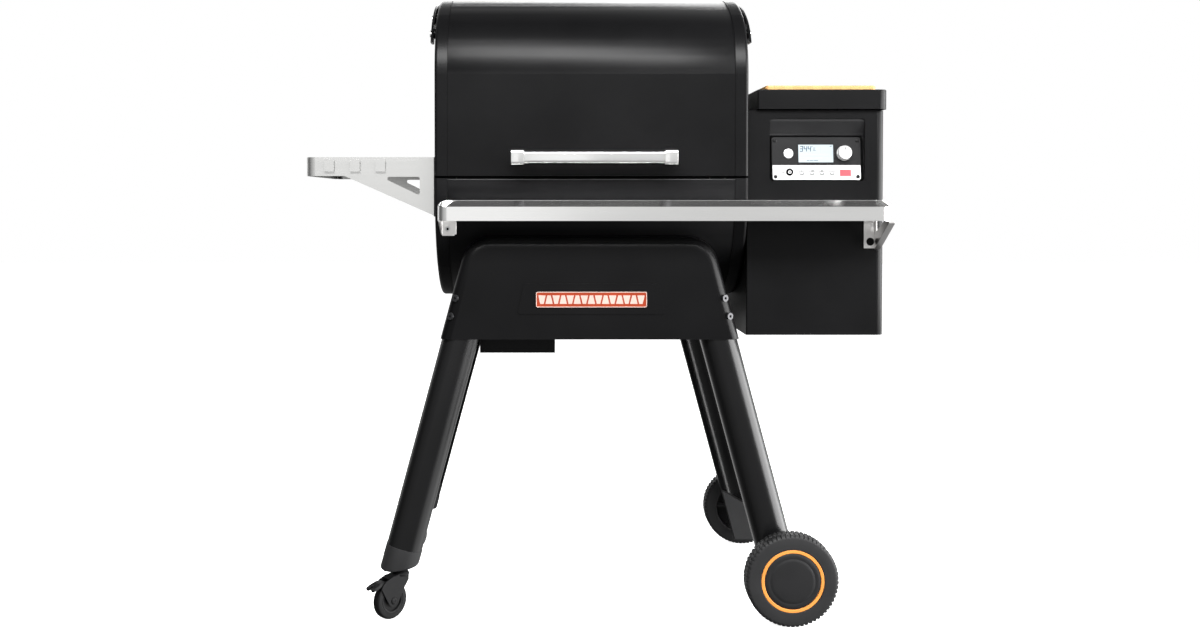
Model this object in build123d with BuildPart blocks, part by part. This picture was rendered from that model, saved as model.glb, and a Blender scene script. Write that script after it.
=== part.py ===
"""Pellet smoker grill on a wheeled leg frame, as separate named pieces.

Frame: millimetres, X to the right, Y from the front to the rear, Z up. The origin is on the
floor, in the middle of the grill's overall width and depth.
"""
from build123d import *
from math import asin, atan2, cos, degrees, hypot, pi, radians, sin, tan
import os

os.makedirs("parts", exist_ok=True)

# ---------------------------------------------------------------- driving dimensions
FRAME_X = -11.0  # middle of the leg frame
AXIS_Y = 8.5  # middle of the barrel, front to back

# barrel: end view made of a crown, two shoulders, two flat sides, two side arcs and a keel
BARREL_LEFT = FRAME_X - 311.0
BARREL_RIGHT = FRAME_X + 317.0
HALF_DEPTH = 265.0
CROWN_TOP = 1274.0
CROWN_RADIUS = 370.0
SHOULDER_RADIUS = 150.0
BELLY_Z = 870.0
SIDE_RADIUS = 220.0
KEEL_ANGLE = 50.0
RIM_WIDTH = 26.0  # rolled rim of each pressed end
RIM_RADIUS = 7.0
PAN = 4.0  # thickness of the pressed ends
SHEET = 3.0  # thickness of the wrapped sheet
SEAM_STEP = 1.0  # the wrap lies this far inside the ends' rims

# line that parts the lid from the body, in end view
LID_EDGE_Z = 888.0
LID_GAP = 4.6
KNEE_Y = AXIS_Y + 90.0
HEEL_Y = AXIS_Y + 190.0
REAR_EDGE_Z = 1080.0
REACH = 400.0  # past the barrel on every side

# lid hinge
PIVOT_Y = AXIS_Y + HALF_DEPTH + 12.0
PIVOT_Z = 1078.0
ARM_STANDOFF = 4.5
ARM_THICKNESS = 5.0
PIN_RADIUS = 5.0
CLEARANCE = 0.3

# lid handle
HANDLE_LEFT = FRAME_X - 157.0
HANDLE_RIGHT = FRAME_X + 170.0
HANDLE_Z = 924.0
HANDLE_SLEEVE = 29.5
HANDLE_BAR = 23.6
HANDLE_REACH = 43.0  # from the lid to the middle of the bar

# leg frame
LEG_TILT = 15.1
LEG_WIDTH = 72.0
LEG_DEPTH = 45.0
LEG_SHEET = 2.5
LEG_CORNER = 20.0
LEG_FACE = 273.0  # from the barrel's axis to the legs' outer faces
LEG_REF_Z = 239.0
LEG_REF_X = 347.2  # from the middle of the frame to a leg's centre line at LEG_REF_Z
LEG_TOP_Z = 710.0
APRON_BOTTOM = 561.5
APRON_TOP = 766.0
APRON_SHEET = 2.4
APRON_DEPTH = 44.0
APRON_SHOULDER = 62.0
APRON_EDGE = 22.0
RAIL_X = 238.0

# wheels and casters
WHEEL_RADIUS = 91.5
WHEEL_WIDTH = 45.0
WHEEL_FACE = 330.0  # from the barrel's axis to a wheel's outer face
AXLE_X = FRAME_X + 396.0
AXLE_RADIUS = 8.0
RING_OUTER = 62.0
RING_INNER = 55.0
CASTER_RADIUS = 37.5
CASTER_WIDTH = 18.0
CASTER_X = FRAME_X - 382.0
CASTER_Y = 250.0
CASTER_TRAIL = 27.0
CASTER_TURN = 225.0
CASTER_TOP = 92.0

# hopper
HOPPER_LEFT = BARREL_RIGHT + 1.5
HOPPER_RIGHT = FRAME_X + 598.0
HOPPER_FRONT = AXIS_Y - 230.0
HOPPER_REAR = AXIS_Y + 185.0
HOPPER_BOTTOM = 566.0
HOPPER_TOP = 1021.0
HOPPER_SHEET = 2.5
HOPPER_CORNER = 16.0
LID_CORNER = 18.0
LID_LEFT = FRAME_X + 339.0
LID_RIGHT = FRAME_X + 602.0
LID_FRONT = HOPPER_FRONT - 10.0
LID_REAR = HOPPER_REAR + 7.0
LID_BOTTOM = 1023.3
LID_TOP = 1062.7
BOARD_LEFT = FRAME_X + 358.0
BOARD_RIGHT = FRAME_X + 582.0
BOARD_FRONT = LID_FRONT + 16.0
BOARD_REAR = LID_REAR - 22.0
BOARD_RECESS = 5.0
BOARD_TOP = 1071.8
HOPPER_HINGE_Y = LID_REAR + 7.0
HOPPER_HINGE_Z = 1027.0

# feed and fire
AUGER_Z = 700.0
AUGER_RADIUS = 21.0
TUBE_INNER = 24.5
TUBE_OUTER = 27.0
POT_X = FRAME_X + 45.0
POT_RADIUS = 50.0
FAN_Y = AXIS_Y + 95.0
FAN_Z = 745.0
BLADE_PITCH = radians(40)

# control panel, leaning back at the top
BEZEL_LEFT = FRAME_X + 365.0
BEZEL_RIGHT = FRAME_X + 558.0
BEZEL_BOTTOM = 878.0
BEZEL_TOP = 1005.0
PANEL_WIDTH = 180.4
PANEL_HEIGHT = 88.3
PANEL_THICKNESS = 4.0
PANEL_LEAN = 7.5
PANEL_X = FRAME_X + 461.0
PANEL_Z = 923.7
KNOB_RADIUS = 14.0
MENU_RADIUS = 9.8
POWER_RADIUS = 6.0
KEY_TRAVEL = 1.5

# shelves
SHELF_LEFT = FRAME_X - 300.0
SHELF_RIGHT = FRAME_X + 583.0
SHELF_FRONT = AXIS_Y - 347.0
SHELF_REAR = AXIS_Y - HALF_DEPTH - 3.0
SHELF_BOTTOM = 799.4
SHELF_RIM = 826.8
SHELF_BACK = 839.4
SHELF_SHEET = 2.0
SHELF_RAMP = 17.0  # depth of the rise at the front shelf's rear edge
TRAY_LEFT = FRAME_X - 580.0
TRAY_RIGHT = BARREL_LEFT - 6.0
TRAY_FRONT = AXIS_Y - 200.0
TRAY_REAR = AXIS_Y + 207.0
TRAY_TOP = 927.5
TRAY_SKIRT = 38.6

# grease box below the barrel
BOX_LEFT = FRAME_X - 225.0
BOX_RIGHT = FRAME_X - 68.0
BOX_HALF = 150.0
BOX_BOTTOM = 520.0
BOX_MOUTH = 566.0

# ---------------------------------------------------------------- worked-out dimensions
SHOULDER_Y = HALF_DEPTH - SHOULDER_RADIUS
CROWN_ANGLE = degrees(asin(SHOULDER_Y / (CROWN_RADIUS - SHOULDER_RADIUS)))
CROWN_CENTRE_Z = CROWN_TOP - CROWN_RADIUS
SHOULDER_Z = CROWN_CENTRE_Z + (CROWN_RADIUS - SHOULDER_RADIUS) * cos(radians(CROWN_ANGLE))
SIDE_Y = HALF_DEPTH - SIDE_RADIUS
KEEL_RADIUS = SIDE_RADIUS + SIDE_Y / cos(radians(KEEL_ANGLE))
KEEL_CENTRE_Z = BELLY_Z + SIDE_Y * tan(radians(KEEL_ANGLE))
KEEL_Z = KEEL_CENTRE_Z - KEEL_RADIUS
WRAP_LEFT = BARREL_LEFT + RIM_WIDTH
WRAP_RIGHT = BARREL_RIGHT - RIM_WIDTH
BELLY_FRONT = AXIS_Y - HALF_DEPTH
BELLY_REAR = AXIS_Y + HALF_DEPTH


# ---------------------------------------------------------------- helpers
def save(piece, name):
    """Label a finished piece and write it as its own STEP file."""
    piece.part.label = name
    export_step(piece.part, f"parts/{name}.step")


def block(x, y, z, mode=Mode.ADD):
    """Rectangular block between two limits along each axis, in the current part."""
    with Locations(((x[0] + x[1]) / 2, (y[0] + y[1]) / 2, (z[0] + z[1]) / 2)):
        Box(x[1] - x[0], y[1] - y[0], z[1] - z[0], mode=mode)


def rod(start, end, radius, mode=Mode.ADD):
    """Round bar from one point to another, in the current part."""
    run = Vector(*end) - Vector(*start)
    with BuildSketch(Plane(origin=start, z_dir=run)) as disc:
        Circle(radius)
    extrude(disc.sketch, amount=run.length, mode=mode)


def side_prism(points, x0, x1, mode=Mode.ADD):
    """Polygon given as (y, z) points, extruded from x0 to x1."""
    with BuildSketch(Plane.YZ.offset(x0)) as profile:
        with BuildLine():
            Polyline(points, close=True)
        make_face()
    extrude(profile.sketch, amount=x1 - x0, mode=mode)


def front_prism(points, y0, y1, mode=Mode.ADD):
    """Polygon given as (x, z) points, extruded from y0 to y1."""
    with BuildSketch(Plane.XZ.offset(-y0)) as profile:
        with BuildLine():
            Polyline(points, close=True)
        make_face()
    extrude(profile.sketch, amount=y0 - y1, mode=mode)


def rounded_column(x, y, z, radii, mode=Mode.ADD):
    """Upright column whose four corners have radii at front left, front right, rear right, rear left."""
    with BuildSketch(Plane.XY.offset(z[0])) as plan:
        with BuildLine():
            Polyline([(x[0], y[0]), (x[1], y[0]), (x[1], y[1]), (x[0], y[1])], close=True)
        make_face()
        corners = [(x[0], y[0]), (x[1], y[0]), (x[1], y[1]), (x[0], y[1])]
        for corner, radius in zip(corners, radii):
            fillet(plan.vertices().sort_by_distance((*corner, 0))[0], radius)
    extrude(plan.sketch, amount=z[1] - z[0], mode=mode)


def barrel_outline(inset):
    """Closed end view of the barrel, a given distance inside its skin."""
    half = HALF_DEPTH - inset
    CenterArc((AXIS_Y, CROWN_CENTRE_Z), CROWN_RADIUS - inset, 90 - CROWN_ANGLE, 2 * CROWN_ANGLE)
    CenterArc((AXIS_Y, KEEL_CENTRE_Z), KEEL_RADIUS - inset, 180 + KEEL_ANGLE, 180 - 2 * KEEL_ANGLE)
    for side, start, keel_start in ((1, 0, -KEEL_ANGLE), (-1, 90 + CROWN_ANGLE, 180)):
        shoulder = (AXIS_Y + side * SHOULDER_Y, SHOULDER_Z)
        CenterArc(shoulder, SHOULDER_RADIUS - inset, start, 90 - CROWN_ANGLE)
        Line((AXIS_Y + side * half, BELLY_Z), (AXIS_Y + side * half, SHOULDER_Z))
        CenterArc((AXIS_Y + side * SIDE_Y, BELLY_Z), SIDE_RADIUS - inset, keel_start, KEEL_ANGLE)


def barrel_prism(inset, x0, x1, mode=Mode.ADD):
    """Length of solid barrel from x0 to x1."""
    with BuildSketch(Plane.YZ.offset(x0)) as profile:
        with BuildLine():
            barrel_outline(inset)
        make_face()
    extrude(profile.sketch, amount=x1 - x0, mode=mode)


def parting_line(drop):
    """Line between lid and body in end view, a given drop below the lid's edge."""
    return [
        (AXIS_Y - REACH, LID_EDGE_Z - drop),
        (KNEE_Y, LID_EDGE_Z - drop),
        (HEEL_Y, REAR_EDGE_Z - drop),
        (AXIS_Y + REACH, REAR_EDGE_Z - drop),
    ]


def lid_side():
    """Everything above the parting line, in end view."""
    top = CROWN_TOP + REACH
    return parting_line(0) + [(AXIS_Y + REACH, top), (AXIS_Y - REACH, top)]


def body_side():
    """Everything below the parting line and its gap, in end view."""
    floor = KEEL_Z - REACH
    return parting_line(LID_GAP) + [(AXIS_Y + REACH, floor), (AXIS_Y - REACH, floor)]


def end_pans():
    """Both pressed ends of the whole barrel, with rolled rims, before lid and body are parted."""
    barrel_prism(0, BARREL_LEFT, WRAP_LEFT)
    barrel_prism(0, WRAP_RIGHT, BARREL_RIGHT)
    ends = faces().sort_by(Axis.X)
    fillet(ends[0].edges() + ends[-1].edges(), RIM_RADIUS)
    barrel_prism(PAN, BARREL_LEFT + PAN, WRAP_LEFT, Mode.SUBTRACT)
    barrel_prism(PAN, WRAP_RIGHT, BARREL_RIGHT - PAN, Mode.SUBTRACT)


def wrap():
    """Sheet wrapped round the whole barrel between the pressed ends."""
    barrel_prism(SEAM_STEP, WRAP_LEFT, WRAP_RIGHT)
    barrel_prism(SEAM_STEP + SHEET, WRAP_LEFT, WRAP_RIGHT, Mode.SUBTRACT)


def both_ends():
    """For each end of the barrel: its outer face and the direction away from the barrel."""
    return ((BARREL_LEFT, -1), (BARREL_RIGHT, 1))


# ---------------------------------------------------------------- barrel body
def make_body():
    with BuildPart() as shell:
        wrap()
        side_prism(body_side(), WRAP_LEFT, WRAP_RIGHT, Mode.INTERSECT)
        edge = LID_EDGE_Z - LID_GAP
        hem = BELLY_FRONT + SEAM_STEP + SHEET
        block((WRAP_LEFT, WRAP_RIGHT), (hem, hem + 9), (edge - SHEET, edge))
        block((FRAME_X - 200, FRAME_X + 200), (BELLY_REAR - 10, BELLY_REAR + 5), (975, 1000), Mode.SUBTRACT)
        rod((FRAME_X - 146, AXIS_Y, KEEL_Z - 10), (FRAME_X - 146, AXIS_Y, KEEL_Z + 20), 12, Mode.SUBTRACT)
    save(shell, "body_shell")

    with BuildPart() as caps:
        end_pans()
        side_prism(body_side(), BARREL_LEFT - 1, BARREL_RIGHT + 1, Mode.INTERSECT)
        wall = BARREL_RIGHT - PAN - 1
        rod((wall, AXIS_Y, AUGER_Z), (BARREL_RIGHT + 1, AXIS_Y, AUGER_Z), TUBE_OUTER, Mode.SUBTRACT)
        rod((wall, FAN_Y, FAN_Z), (BARREL_RIGHT + 1, FAN_Y, FAN_Z), 35, Mode.SUBTRACT)
        probe = (BARREL_LEFT - 1, AXIS_Y, 845)
        rod(probe, (BARREL_LEFT + PAN + 1, AXIS_Y, 845), 4, Mode.SUBTRACT)
    save(caps, "body_end_caps")

    with BuildPart() as hood:
        outer = (BELLY_REAR, BELLY_REAR + 45)
        block((FRAME_X - 225, FRAME_X + 225), outer, (925, 1012))
        fillet(edges().filter_by(Axis.X).sort_by(Axis.Z)[-1:], 10)
        inner = (BELLY_REAR, BELLY_REAR + 42.5)
        block((FRAME_X - 222.5, FRAME_X + 222.5), inner, (920, 1005), Mode.SUBTRACT)
        flange = (BELLY_REAR, BELLY_REAR + 2.5)
        block((FRAME_X - 240, FRAME_X + 240), flange, (1005, 1025))
    save(hood, "exhaust_hood")


def make_fire():
    pot_bottom = 648.0
    pot_top = 742.0
    with BuildPart() as pot:
        rod((POT_X, AXIS_Y, pot_bottom), (POT_X, AXIS_Y, pot_top), POT_RADIUS)
        rod((POT_X, AXIS_Y, pot_bottom + 3), (POT_X, AXIS_Y, pot_top), POT_RADIUS - 3, Mode.SUBTRACT)
        rod((POT_X, AXIS_Y, AUGER_Z), (POT_X + 60, AXIS_Y, AUGER_Z), TUBE_OUTER, Mode.SUBTRACT)
        rod((POT_X, AXIS_Y, 668), (POT_X - 60, AXIS_Y, 668), 6, Mode.SUBTRACT)
        with Locations(Plane(origin=(POT_X, AXIS_Y, 662), z_dir=(0, -1, 0))):
            with GridLocations(22, 16, 3, 2):
                Hole(3, depth=POT_RADIUS + 2)
        for side in (-1, 1):
            y = AXIS_Y + side * 42
            block((POT_X - 8, POT_X + 8), (y - 3, y + 3), (KEEL_Z, pot_bottom + 1))
        # igniter: a thin rod in a thicker sleeve, through the pot's wall
        rod((POT_X - 62, AXIS_Y, 668), (POT_X - 40, AXIS_Y, 668), 6)
        rod((POT_X - 110, AXIS_Y, 668), (POT_X - 62, AXIS_Y, 668), 9)
        barrel_prism(SEAM_STEP + SHEET, POT_X - 160, POT_X + 160, Mode.INTERSECT)
    save(pot, "firepot")

    with BuildPart() as baffle:
        block((POT_X - 150, POT_X + 150), (AXIS_Y - 165, AXIS_Y + 165), (760, 762))
        for side in (-1, 1):
            y = AXIS_Y + side * 164
            block((POT_X - 150, POT_X + 150), (y - 1, y + 1), (742, 760))
            leg = AXIS_Y + side * 120
            block((POT_X - 140, POT_X - 120), (leg - 1.5, leg + 1.5), (659, 760))
            block((POT_X + 120, POT_X + 140), (leg - 1.5, leg + 1.5), (659, 760))
        barrel_prism(SEAM_STEP + SHEET, POT_X - 160, POT_X + 160, Mode.INTERSECT)
    save(baffle, "heat_baffle")

    with BuildPart() as tray:
        left = BARREL_LEFT + PAN + 13
        right = BARREL_RIGHT - PAN - 13
        deep = AXIS_Y - 205
        back = AXIS_Y + 205
        front_prism([(left, 785), (right, 803), (right, 805), (left, 787)], deep, back)
        front_prism([(left, 785), (right, 803), (right, 815), (left, 799)], deep, deep + 2)
        front_prism([(left, 785), (right, 803), (right, 815), (left, 799)], back - 2, back)
        for x in (left + 20, right - 20):
            side_prism([(deep, 786), (back, 786), (AXIS_Y + 190, 740), (AXIS_Y - 190, 740)], x - 1, x + 1)
            lower = [(deep + 12, 784), (back - 12, 784), (AXIS_Y + 178, 750), (AXIS_Y - 178, 750)]
            side_prism(lower, x - 2, x + 2, Mode.SUBTRACT)
        barrel_prism(SEAM_STEP + SHEET, left - 1, right + 1, Mode.INTERSECT)
    save(tray, "drip_tray")

    with BuildPart() as probe:
        rod((BARREL_LEFT, AXIS_Y, 845), (BARREL_LEFT + 75, AXIS_Y, 845), 4)
        rod((BARREL_LEFT - 4, AXIS_Y, 845), (BARREL_LEFT, AXIS_Y, 845), 9)
    save(probe, "temperature_probe")


def grate(z, front, rear):
    """Welded rod grate at height z, between two depths, in the current part."""
    left = BARREL_LEFT + 20
    right = BARREL_RIGHT - 20
    count = 27
    step = (right - left - 20) / (count - 1)
    for i in range(count):
        x = left + 10 + i * step
        rod((x, front, z), (x, rear, z), 2.4)
    for y in (front + 12, (front + rear) / 2, rear - 12):
        rod((left, y, z - 4), (right, y, z - 4), 3)


def make_grates():
    levels = ((870.0, 235.0, 235.0), (985.0, 120.0, 205.0), (1090.0, 60.0, 200.0))
    with BuildPart() as grates:
        for z, ahead, behind in levels:
            grate(z, AXIS_Y - ahead, AXIS_Y + behind)
    save(grates, "cooking_grates")

    with BuildPart() as rails:
        for face, away in both_ends():
            x = face - away * 15
            span = (min(x, x - away * 2), max(x, x - away * 2))
            ledge = (min(x, x - away * 14), max(x, x - away * 14))
            for z, ahead, behind in levels:
                run = (AXIS_Y - ahead, AXIS_Y + behind)
                block(ledge, run, (z - 9, z - 7))
                block(span, run, (z - 9, z + 5))
            for y, foot in ((AXIS_Y - 55, 700), (AXIS_Y + 190, 760)):
                block(span, (y - 8, y + 8), (foot, 1095))
    save(rails, "grate_rails")


# ---------------------------------------------------------------- lid
def arm_point(shoulder_angle=None, crown_angle=None, inset=25.0):
    """(y, z) of a point along the hinge arm: on the front shoulder, or on the crown."""
    if shoulder_angle is not None:
        reach = SHOULDER_RADIUS - inset
        turn = radians(shoulder_angle)
        return (AXIS_Y - SHOULDER_Y - reach * cos(turn), SHOULDER_Z + reach * sin(turn))
    reach = CROWN_RADIUS - inset
    turn = radians(crown_angle)
    return (AXIS_Y + reach * sin(turn), CROWN_CENTRE_Z + reach * cos(turn))


def arm_bolts():
    """(y, z) of the bolts that hold each hinge arm to the lid."""
    return [
        arm_point(shoulder_angle=44),
        arm_point(crown_angle=-25),
        arm_point(crown_angle=-4),
        arm_point(crown_angle=14),
    ]


def make_lid():
    with BuildPart() as shell:
        wrap()
        side_prism(lid_side(), WRAP_LEFT, WRAP_RIGHT, Mode.INTERSECT)
        hem = BELLY_FRONT + SEAM_STEP + SHEET
        block((WRAP_LEFT, WRAP_RIGHT), (hem, hem + 12), (LID_EDGE_Z, LID_EDGE_Z + SHEET))
    save(shell, "lid_shell")

    with BuildPart() as caps:
        end_pans()
        side_prism(lid_side(), BARREL_LEFT - 1, BARREL_RIGHT + 1, Mode.INTERSECT)
    save(caps, "lid_end_caps")

    with BuildPart() as gasket:
        thick = LID_GAP - 2 * CLEARANCE
        z = (LID_EDGE_Z - thick, LID_EDGE_Z)
        front = BELLY_FRONT + 6
        block((BARREL_LEFT + 6, BARREL_RIGHT - 6), (front, front + 7), z)
        for face, away in both_ends():
            x = sorted((face - away * 0.5, face - away * 6))
            block(x, (front, KNEE_Y - 8), z)
    save(gasket, "lid_gasket")

    with BuildPart() as arms:
        for mode, inset in ((Mode.ADD, 10), (Mode.SUBTRACT, 40)):
            for face, away in both_ends():
                near = face + away * ARM_STANDOFF
                barrel_prism(inset, near, near + away * ARM_THICKNESS, mode)
        front_cut = [(AXIS_Y - REACH, 1157), (AXIS_Y, 1157)]
        rear_cut = [(AXIS_Y + 100, PIVOT_Z - 14), (AXIS_Y + REACH, PIVOT_Z - 14)]
        top = [(AXIS_Y + REACH, CROWN_TOP), (AXIS_Y - REACH, CROWN_TOP)]
        side_prism(front_cut + rear_cut + top, BARREL_LEFT - 50, BARREL_RIGHT + 50, Mode.INTERSECT)
        for face, away in both_ends():
            near = face + away * ARM_STANDOFF
            far = near + away * ARM_THICKNESS
            block(sorted((near, far)), (AXIS_Y + 226, PIVOT_Y), (PIVOT_Z - 14, PIVOT_Z + 14))
            rod((near, PIVOT_Y, PIVOT_Z), (far, PIVOT_Y, PIVOT_Z), 14)
            rod((near, PIVOT_Y, PIVOT_Z), (far, PIVOT_Y, PIVOT_Z), PIN_RADIUS + CLEARANCE, Mode.SUBTRACT)
            for y, z in arm_bolts():
                rod((face, y, z), (near, y, z), 10)
            for y, z in arm_bolts():
                rod((face, y, z), (near + away * ARM_THICKNESS, y, z), 4, Mode.SUBTRACT)
    save(arms, "hinge_arms")

    with BuildPart() as bolts:
        for face, away in both_ends():
            top = face + away * (ARM_STANDOFF + ARM_THICKNESS)
            for y, z in arm_bolts():
                rod((face, y, z), (top, y, z), 4)
                rod((top, y, z), (top + away * 3.5, y, z), 7)
    save(bolts, "hinge_bolts")

    with BuildPart() as handle:
        y = BELLY_FRONT - HANDLE_REACH
        sleeve = 25.5
        for left in (HANDLE_LEFT, HANDLE_RIGHT - sleeve):
            with BuildSketch(Plane.YZ.offset(left)):
                with Locations((y, HANDLE_Z)):
                    RectangleRounded(HANDLE_SLEEVE, HANDLE_SLEEVE, 9)
            extrude(amount=sleeve)
            rod((left + sleeve / 2, y, HANDLE_Z), (left + sleeve / 2, BELLY_FRONT + 1, HANDLE_Z), 10)
        with BuildSketch(Plane.YZ.offset(HANDLE_LEFT + sleeve)):
            with Locations((y, HANDLE_Z)):
                RectangleRounded(HANDLE_BAR, HANDLE_BAR, 8)
        extrude(amount=HANDLE_RIGHT - HANDLE_LEFT - 2 * sleeve)
    save(handle, "lid_handle")

    with BuildPart() as brackets:
        for face, away in both_ends():
            top = face + away * (ARM_STANDOFF - CLEARANCE)
            tail = [(AXIS_Y + 207, 985), (AXIS_Y + 256, 985), (PIVOT_Y + 10, PIVOT_Z - 9)]
            nose = [(PIVOT_Y - 8, PIVOT_Z + 11), (AXIS_Y + 207, 1050)]
            side_prism(tail + nose, face, top)
            rod((face, PIVOT_Y, PIVOT_Z), (top, PIVOT_Y, PIVOT_Z), 13)
            arm_top = face + away * (ARM_STANDOFF + ARM_THICKNESS + CLEARANCE)
            rod((top, PIVOT_Y, PIVOT_Z), (arm_top, PIVOT_Y, PIVOT_Z), PIN_RADIUS)
            rod((arm_top, PIVOT_Y, PIVOT_Z), (arm_top + away * 3, PIVOT_Y, PIVOT_Z), 8)
        inner = (BARREL_LEFT + PAN, BARREL_RIGHT - PAN)
        block((BARREL_LEFT, BARREL_RIGHT), (AXIS_Y, AXIS_Y + REACH), (REAR_EDGE_Z, CROWN_TOP), Mode.SUBTRACT)
        block(inner, (AXIS_Y, AXIS_Y + REACH), (900, REAR_EDGE_Z), Mode.SUBTRACT)
    save(brackets, "hinge_brackets")


# ---------------------------------------------------------------- leg frame
def leg_x(z):
    """Distance of a leg's centre line from the middle of the frame, at height z."""
    return LEG_REF_X - (z - LEG_REF_Z) * tan(radians(LEG_TILT))


def leg_plane(hand, z):
    """Plane square to a leg's length at height z: x outwards to the right, y to the rear."""
    tilt = radians(LEG_TILT)
    return Plane(
        origin=(FRAME_X + hand * leg_x(z), AXIS_Y, z),
        x_dir=(cos(tilt), 0, hand * sin(tilt)),
        z_dir=(-hand * sin(tilt), 0, cos(tilt)),
    )


def leg_bar(plane, side, shrink, depth, length, mode=Mode.ADD):
    """Bar along a leg, rounded on its outer face, a given amount inside the leg's skin."""
    face = LEG_FACE - shrink
    with BuildSketch(plane) as section:
        with Locations((0, side * (face - depth / 2))):
            Rectangle(LEG_WIDTH - 2 * shrink, depth)
        outer = section.vertices().group_by(Axis.Y)[-1 if side > 0 else 0]
        fillet(outer, LEG_CORNER - shrink)
    extrude(section.sketch, amount=length, mode=mode)


def leg(hand, side, bottom):
    """One stamped channel leg, open to the inside, in the current part."""
    length = (LEG_TOP_Z - bottom) / cos(radians(LEG_TILT)) + 40
    plane = leg_plane(hand, bottom)
    leg_bar(plane, side, 0, LEG_DEPTH, length)
    leg_bar(plane, side, LEG_SHEET, LEG_DEPTH, length, Mode.SUBTRACT)


def below(z, mode=Mode.SUBTRACT):
    """Cut away everything in the current part below height z."""
    block((-1200, 1200), (-1200, 1200), (z - 1500, z), mode)


def above(z, mode=Mode.SUBTRACT):
    """Cut away everything in the current part above height z."""
    block((-1200, 1200), (-1200, 1200), (z, z + 1500), mode)


def make_legs():
    right_end = 27.0
    left_end = 138.0
    with BuildPart() as legs:
        for side in (-1, 1):
            leg(1, side, right_end - 20)
        below(right_end)
        for side in (-1, 1):
            leg(-1, side, left_end)
            web = AXIS_Y + side * LEG_FACE
            outside = (AXLE_X, web - 10, WHEEL_RADIUS)
            rod(outside, (AXLE_X, web + 10, WHEEL_RADIUS), AXLE_RADIUS, Mode.SUBTRACT)
        above(LEG_TOP_Z)
    save(legs, "legs")

    with BuildPart() as feet:
        for side in (-1, 1):
            # caster socket: a moulded end that carries on from the leg, with a plug up inside it
            leg_bar(leg_plane(-1, left_end), side, -1, LEG_DEPTH + 2, -70)
            leg_bar(leg_plane(-1, left_end), side, LEG_SHEET + 0.1, LEG_DEPTH - 6, 30)
        below(CASTER_TOP + 1)
        outer = FRAME_X - leg_x(CASTER_TOP) - LEG_WIDTH / 2 - 4
        inner = FRAME_X - leg_x(CASTER_TOP) + LEG_WIDTH / 2 + 4
        for x, wide, high in ((outer, 15, 9), (inner, -33, 14)):
            wedge = [(x, CASTER_TOP + high), (x, CASTER_TOP), (x + wide, CASTER_TOP)]
            front_prism(wedge, AXIS_Y - 400, AXIS_Y + 400, Mode.SUBTRACT)
        for side in (-1, 1):
            y = AXIS_Y + side * CASTER_Y
            rod((CASTER_X, y, CASTER_TOP - 1), (CASTER_X, y, 128), 6 + CLEARANCE, Mode.SUBTRACT)
        for side in (-1, 1):
            # wheel block: fills the open side of the channel round the axle
            leg_bar(leg_plane(1, right_end - 20), side, LEG_SHEET + 0.1, LEG_DEPTH - LEG_SHEET, 175)
            slope = [(FRAME_X + 280, 185), (FRAME_X + 420, 95)]
            sky = [(FRAME_X + 420, 300), (FRAME_X + 280, 300)]
            front_prism(slope + sky, AXIS_Y - 400, AXIS_Y + 400, Mode.SUBTRACT)
            start = (AXLE_X, AXIS_Y + side * 200, WHEEL_RADIUS)
            rod(start, (AXLE_X, AXIS_Y + side * 290, WHEEL_RADIUS), AXLE_RADIUS, Mode.SUBTRACT)
            rod(start, (AXLE_X, AXIS_Y + side * 240, WHEEL_RADIUS), 13, Mode.SUBTRACT)
        block((AXLE_X - 150, AXLE_X + 100), (-500, 500), (-200, right_end), Mode.SUBTRACT)
    save(feet, "leg_feet")

    with BuildPart() as rails:
        reach = LEG_FACE - LEG_SHEET - 0.1
        for x in (FRAME_X - RAIL_X, FRAME_X + RAIL_X):
            block((x - 1.5, x + 1.5), (AXIS_Y - reach, AXIS_Y + reach), (592, 700))
        barrel_prism(0, BARREL_LEFT, BARREL_RIGHT, Mode.SUBTRACT)
    save(rails, "frame_rails")


def apron_outline(grow):
    """Front view of the apron, in the current line: a trapezium that carries on the legs' slope."""
    half_bottom = leg_x(APRON_BOTTOM) + LEG_WIDTH / 2 / cos(radians(LEG_TILT)) + grow
    half_top = half_bottom - (APRON_TOP - APRON_BOTTOM) * tan(radians(LEG_TILT))
    bottom = [(FRAME_X - half_bottom, APRON_BOTTOM), (FRAME_X + half_bottom, APRON_BOTTOM)]
    top = [(FRAME_X + half_top, APRON_TOP), (FRAME_X - half_top, APRON_TOP)]
    Polyline(bottom + top, close=True)


def corner_bolts():
    """(x, z) of the bolts through each rounded edge of an apron, on the right-hand side."""
    spots = []
    for z in (644.0, 608.0):
        spots.append((leg_x(z) + LEG_WIDTH / 2 / cos(radians(LEG_TILT)) - 7.8, z))
    return spots


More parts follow.
